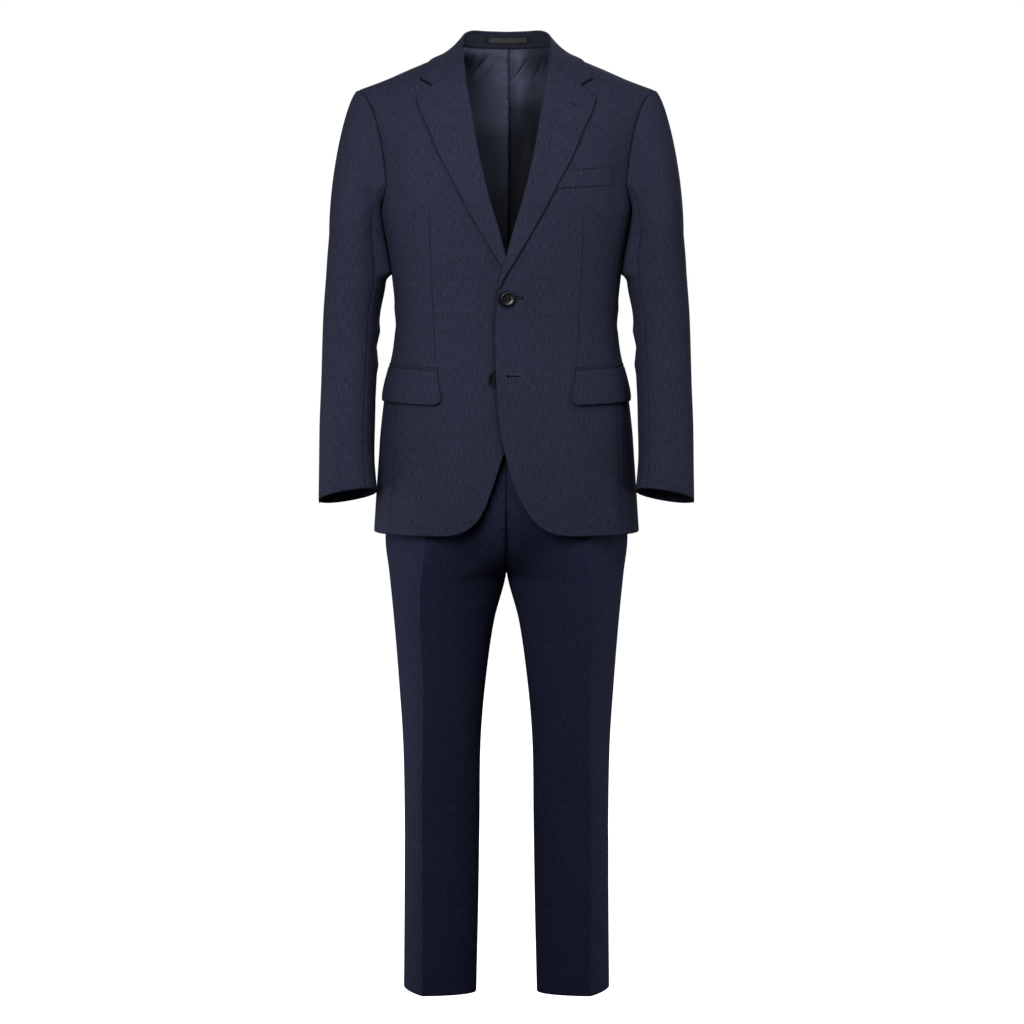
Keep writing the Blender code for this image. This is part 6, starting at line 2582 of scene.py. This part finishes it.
    def panel(self, rear: bool) -> Surface:
        """The surface of a front or a back panel.

        Args:
            rear: whether the back panel is meant.

        Returns:
            The surface.
        """
        top = self.waist - self.band - SEAM

        def surface(across: Array, along: Array) -> Array:
            """Points of the panel, a little short of each seam."""
            return self.point(0.15 + 179.7 * across, between(self.hem, top, along), rear)

        return surface

    def waistband(self, across: Array, along: Array) -> Array:
        """Points of the waistband.

        Args:
            across: how far round it.
            along: how far up it.

        Returns:
            The points.
        """
        angle = np.radians(90.0 - (0.1 + 179.8 * across))
        height = self.waist - self.band * (1.0 - along)
        row = self.pelvis.read(height)
        power = 2.0 / self.hip_power
        depth = np.where(np.sin(angle) > 0.0, -row[..., 1], row[..., 2])
        return stack(row[..., 0] * signed_power(np.cos(angle), power) + SEAM / 2.0,
                     -depth * signed_power(np.sin(angle), power), height)

    def crease(self, across: Array, along: Array, points: Array) -> Array:
        """The pressed crease: a fine ridge along the middle of the panel."""
        away = np.abs(across - 0.5) * self.panel_width
        below_hips = 1.0 - ease((points[..., 2] + 0.7) / 0.1)
        return self.crease_height * np.exp(-away / self.crease_reach) * below_hips

    def fly_shade(self, across: Array, along: Array, points: Array) -> Array:
        """Painted shade in the valley between the legs, from the fly down to the fork."""
        down = self.fly_top - points[..., 2]
        width = between(*self.fly_width, np.clip(down / 0.085, 0.0, 1.0))
        return self.fly_shade_strength * bell(points[..., 0] / width) * ease(down / 0.03 + 0.3)

    def build_panels(self) -> None:
        """The four panels."""
        even = graded(0.0, 1.0, 58, 0.21)
        beside = np.array([0.0, 0.0015, 0.004, 0.008, 0.014, 0.022])
        keep = even[np.abs(even - 0.5) > 0.028]
        columns = np.unique(np.concatenate((keep, 0.5 + beside, 0.5 - beside)))
        for side in Side:
            for part, rear in (("front", False), ("back", True)):
                Sheet(
                    name=f"trouser_{part}_panel_{side.word}", surface=self.panel(rear),
                    columns=columns, rows=graded(0.0, 1.0, 150, 0.9),
                    finish=self.wardrobe.trousers, node=f"trouser_{part}_{side.word}",
                    flat=(0.32, 0.98), area=0.211 if rear else 0.2035, slot="trouser_cloth",
                    side=side, flip=not rear, relief=self.crease,
                    edges=(Edge.SEAM, Edge.SEAM, Edge.TURNED, Edge.RAW),
                    shade=None if rear else self.fly_shade,
                    wrinkles=self.wrinkles[(part, side)]).build()

    def build_waistband(self) -> None:
        """The waistband's halves."""
        for side in Side:
            Sheet(name=f"waistband_half_{side.word}", surface=self.waistband,
                  columns=graded(0.0, 1.0, 70, 0.4), rows=graded(0.0, 1.0, 10, 0.036),
                  finish=self.wardrobe.trousers, node=f"waistband_{side.word}", flat=(0.42, 0.04),
                  area=0.0155, slot="trouser_cloth", side=side,
                  edges=(Edge.SEAM, Edge.SEAM, Edge.SEAM, Edge.TURNED)).build()

    def build(self) -> None:
        """The trousers' pieces."""
        self.build_panels()
        self.build_waistband()


# ---------------------------------------------------------------- the studio
@dataclass
class Studio:
    """A plain pale floor, soft lights and the camera."""

    wardrobe: Wardrobe
    camera_place: Place = (0.0085, -4.7, -0.311)
    camera_tilt: float = math.radians(90.0 - 4.683)
    lens: float = 107.58
    floor_height: float = -1.56
    backdrop: float = 1.0
    surround: float = 0.03
    lights: tuple[tuple[str, Place, float, float, float], ...] = (
        ("near", (0.0, -1.474, 0.832), -0.2, 0.9, 6.4),
        ("front", (-0.511, -1.404, -0.019), -0.15, 0.7, 15.0),
        ("front_low", (-1.268, -2.719, -0.45), -0.45, 1.4, 6.6),
        ("left", (-2.898, -0.776, -0.45), -0.45, 1.4, 7.6),
        ("right", (2.898, -0.776, -0.45), -0.45, 1.4, 4.8),
        ("right_high", (2.51, -0.672, 1.05), -0.45, 1.4, 23.5),
        ("high", (0.658, -0.94, 1.488), -0.15, 0.9, 6.6),
        ("left_low", (-1.97, 0.347, -1.15), -1.15, 0.7, 2.5),
        ("right_low", (1.97, 0.347, -1.15), -1.15, 0.7, 1.6),
        ("left_rear", (-2.313, 0.842, -0.066), -0.5, 1.2, 5.8),
        ("rear", (0.6, 3.4, 1.2), -0.45, 2.4, 72.0),
    )

    def build_lights(self) -> None:
        """Soft area lights that face the suit's middle at a height, and a faint pale surround."""
        for name, place, aim_height, size, power in self.lights:
            lamp = bpy.data.lights.new(name, "AREA")
            lamp.shape = "SQUARE"
            lamp.size = size
            lamp.energy = power
            if name.endswith("_low") and name != "front_low":
                lamp.spread = math.radians(60.0)
            light = bpy.data.objects.new(name, lamp)
            light.location = place
            aim = Vector((0.0, 0.0, aim_height)) - Vector(place)
            light.rotation_euler = aim.to_track_quat("-Z", "Y").to_euler()
            bpy.context.scene.collection.objects.link(light)
        world = bpy.data.worlds.new("pale_surround")
        world.use_nodes = True
        tree = world.node_tree
        white = opaque((1.0,) * 3)
        background = tree.nodes["Background"]
        fill(tree, background, {"Color": white, "Strength": self.surround})
        seen = add_node(tree, "ShaderNodeBackground", {"Color": white, "Strength": self.backdrop})
        path = add_node(tree, "ShaderNodeLightPath")
        both = add_node(tree, "ShaderNodeMixShader", {
            0: path.outputs["Is Camera Ray"], 1: background.outputs[0], 2: seen.outputs[0]})
        fill(tree, tree.nodes["World Output"], {"Surface": both.outputs[0]})
        bpy.context.scene.world = world

    def build_floor(self) -> None:
        """The floor under the hems."""
        deselect()
        bpy.ops.mesh.primitive_plane_add(size=60.0, location=(0.0, 0.0, self.floor_height))
        floor = bpy.context.object
        floor.name = "floor"
        settle_in_mesh(floor, Matrix.Identity(4))
        floor.data.materials.append(self.wardrobe.floor)
        floor.visible_diffuse = False
        floor.visible_glossy = False

    def build_camera(self) -> None:
        """The camera."""
        data = bpy.data.cameras.new("camera")
        data.lens = self.lens
        data.sensor_width = 36.0
        data.clip_end = 200.0
        camera = bpy.data.objects.new("camera", data)
        camera.location = self.camera_place
        camera.rotation_euler = (self.camera_tilt, 0.0, 0.0)
        bpy.context.scene.collection.objects.link(camera)
        bpy.context.scene.camera = camera
        bpy.context.scene.view_settings.view_transform = "Standard"

    def build(self) -> None:
        """Lights, floor and camera."""
        self.build_lights()
        self.build_floor()
        self.build_camera()


def main() -> None:
    """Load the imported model, dress it, and light it."""
    logging.basicConfig(level=logging.INFO, format="%(message)s")
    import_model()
    wardrobe = Wardrobe.make()
    panels = JacketPanels(wardrobe)
    lapels = Lapels(wardrobe)
    garments = (
        panels, lapels, Collar(wardrobe, lapels), Sleeves(wardrobe), Pockets(wardrobe, lapels),
        Buttons(wardrobe, lapels), PickStitches(wardrobe, panels, lapels), Trousers(wardrobe),
        Studio(wardrobe),
    )
    for garment in garments:
        garment.build()
        LOG.info("%s built", type(garment).__name__)


if __name__ == "__main__":
    main()
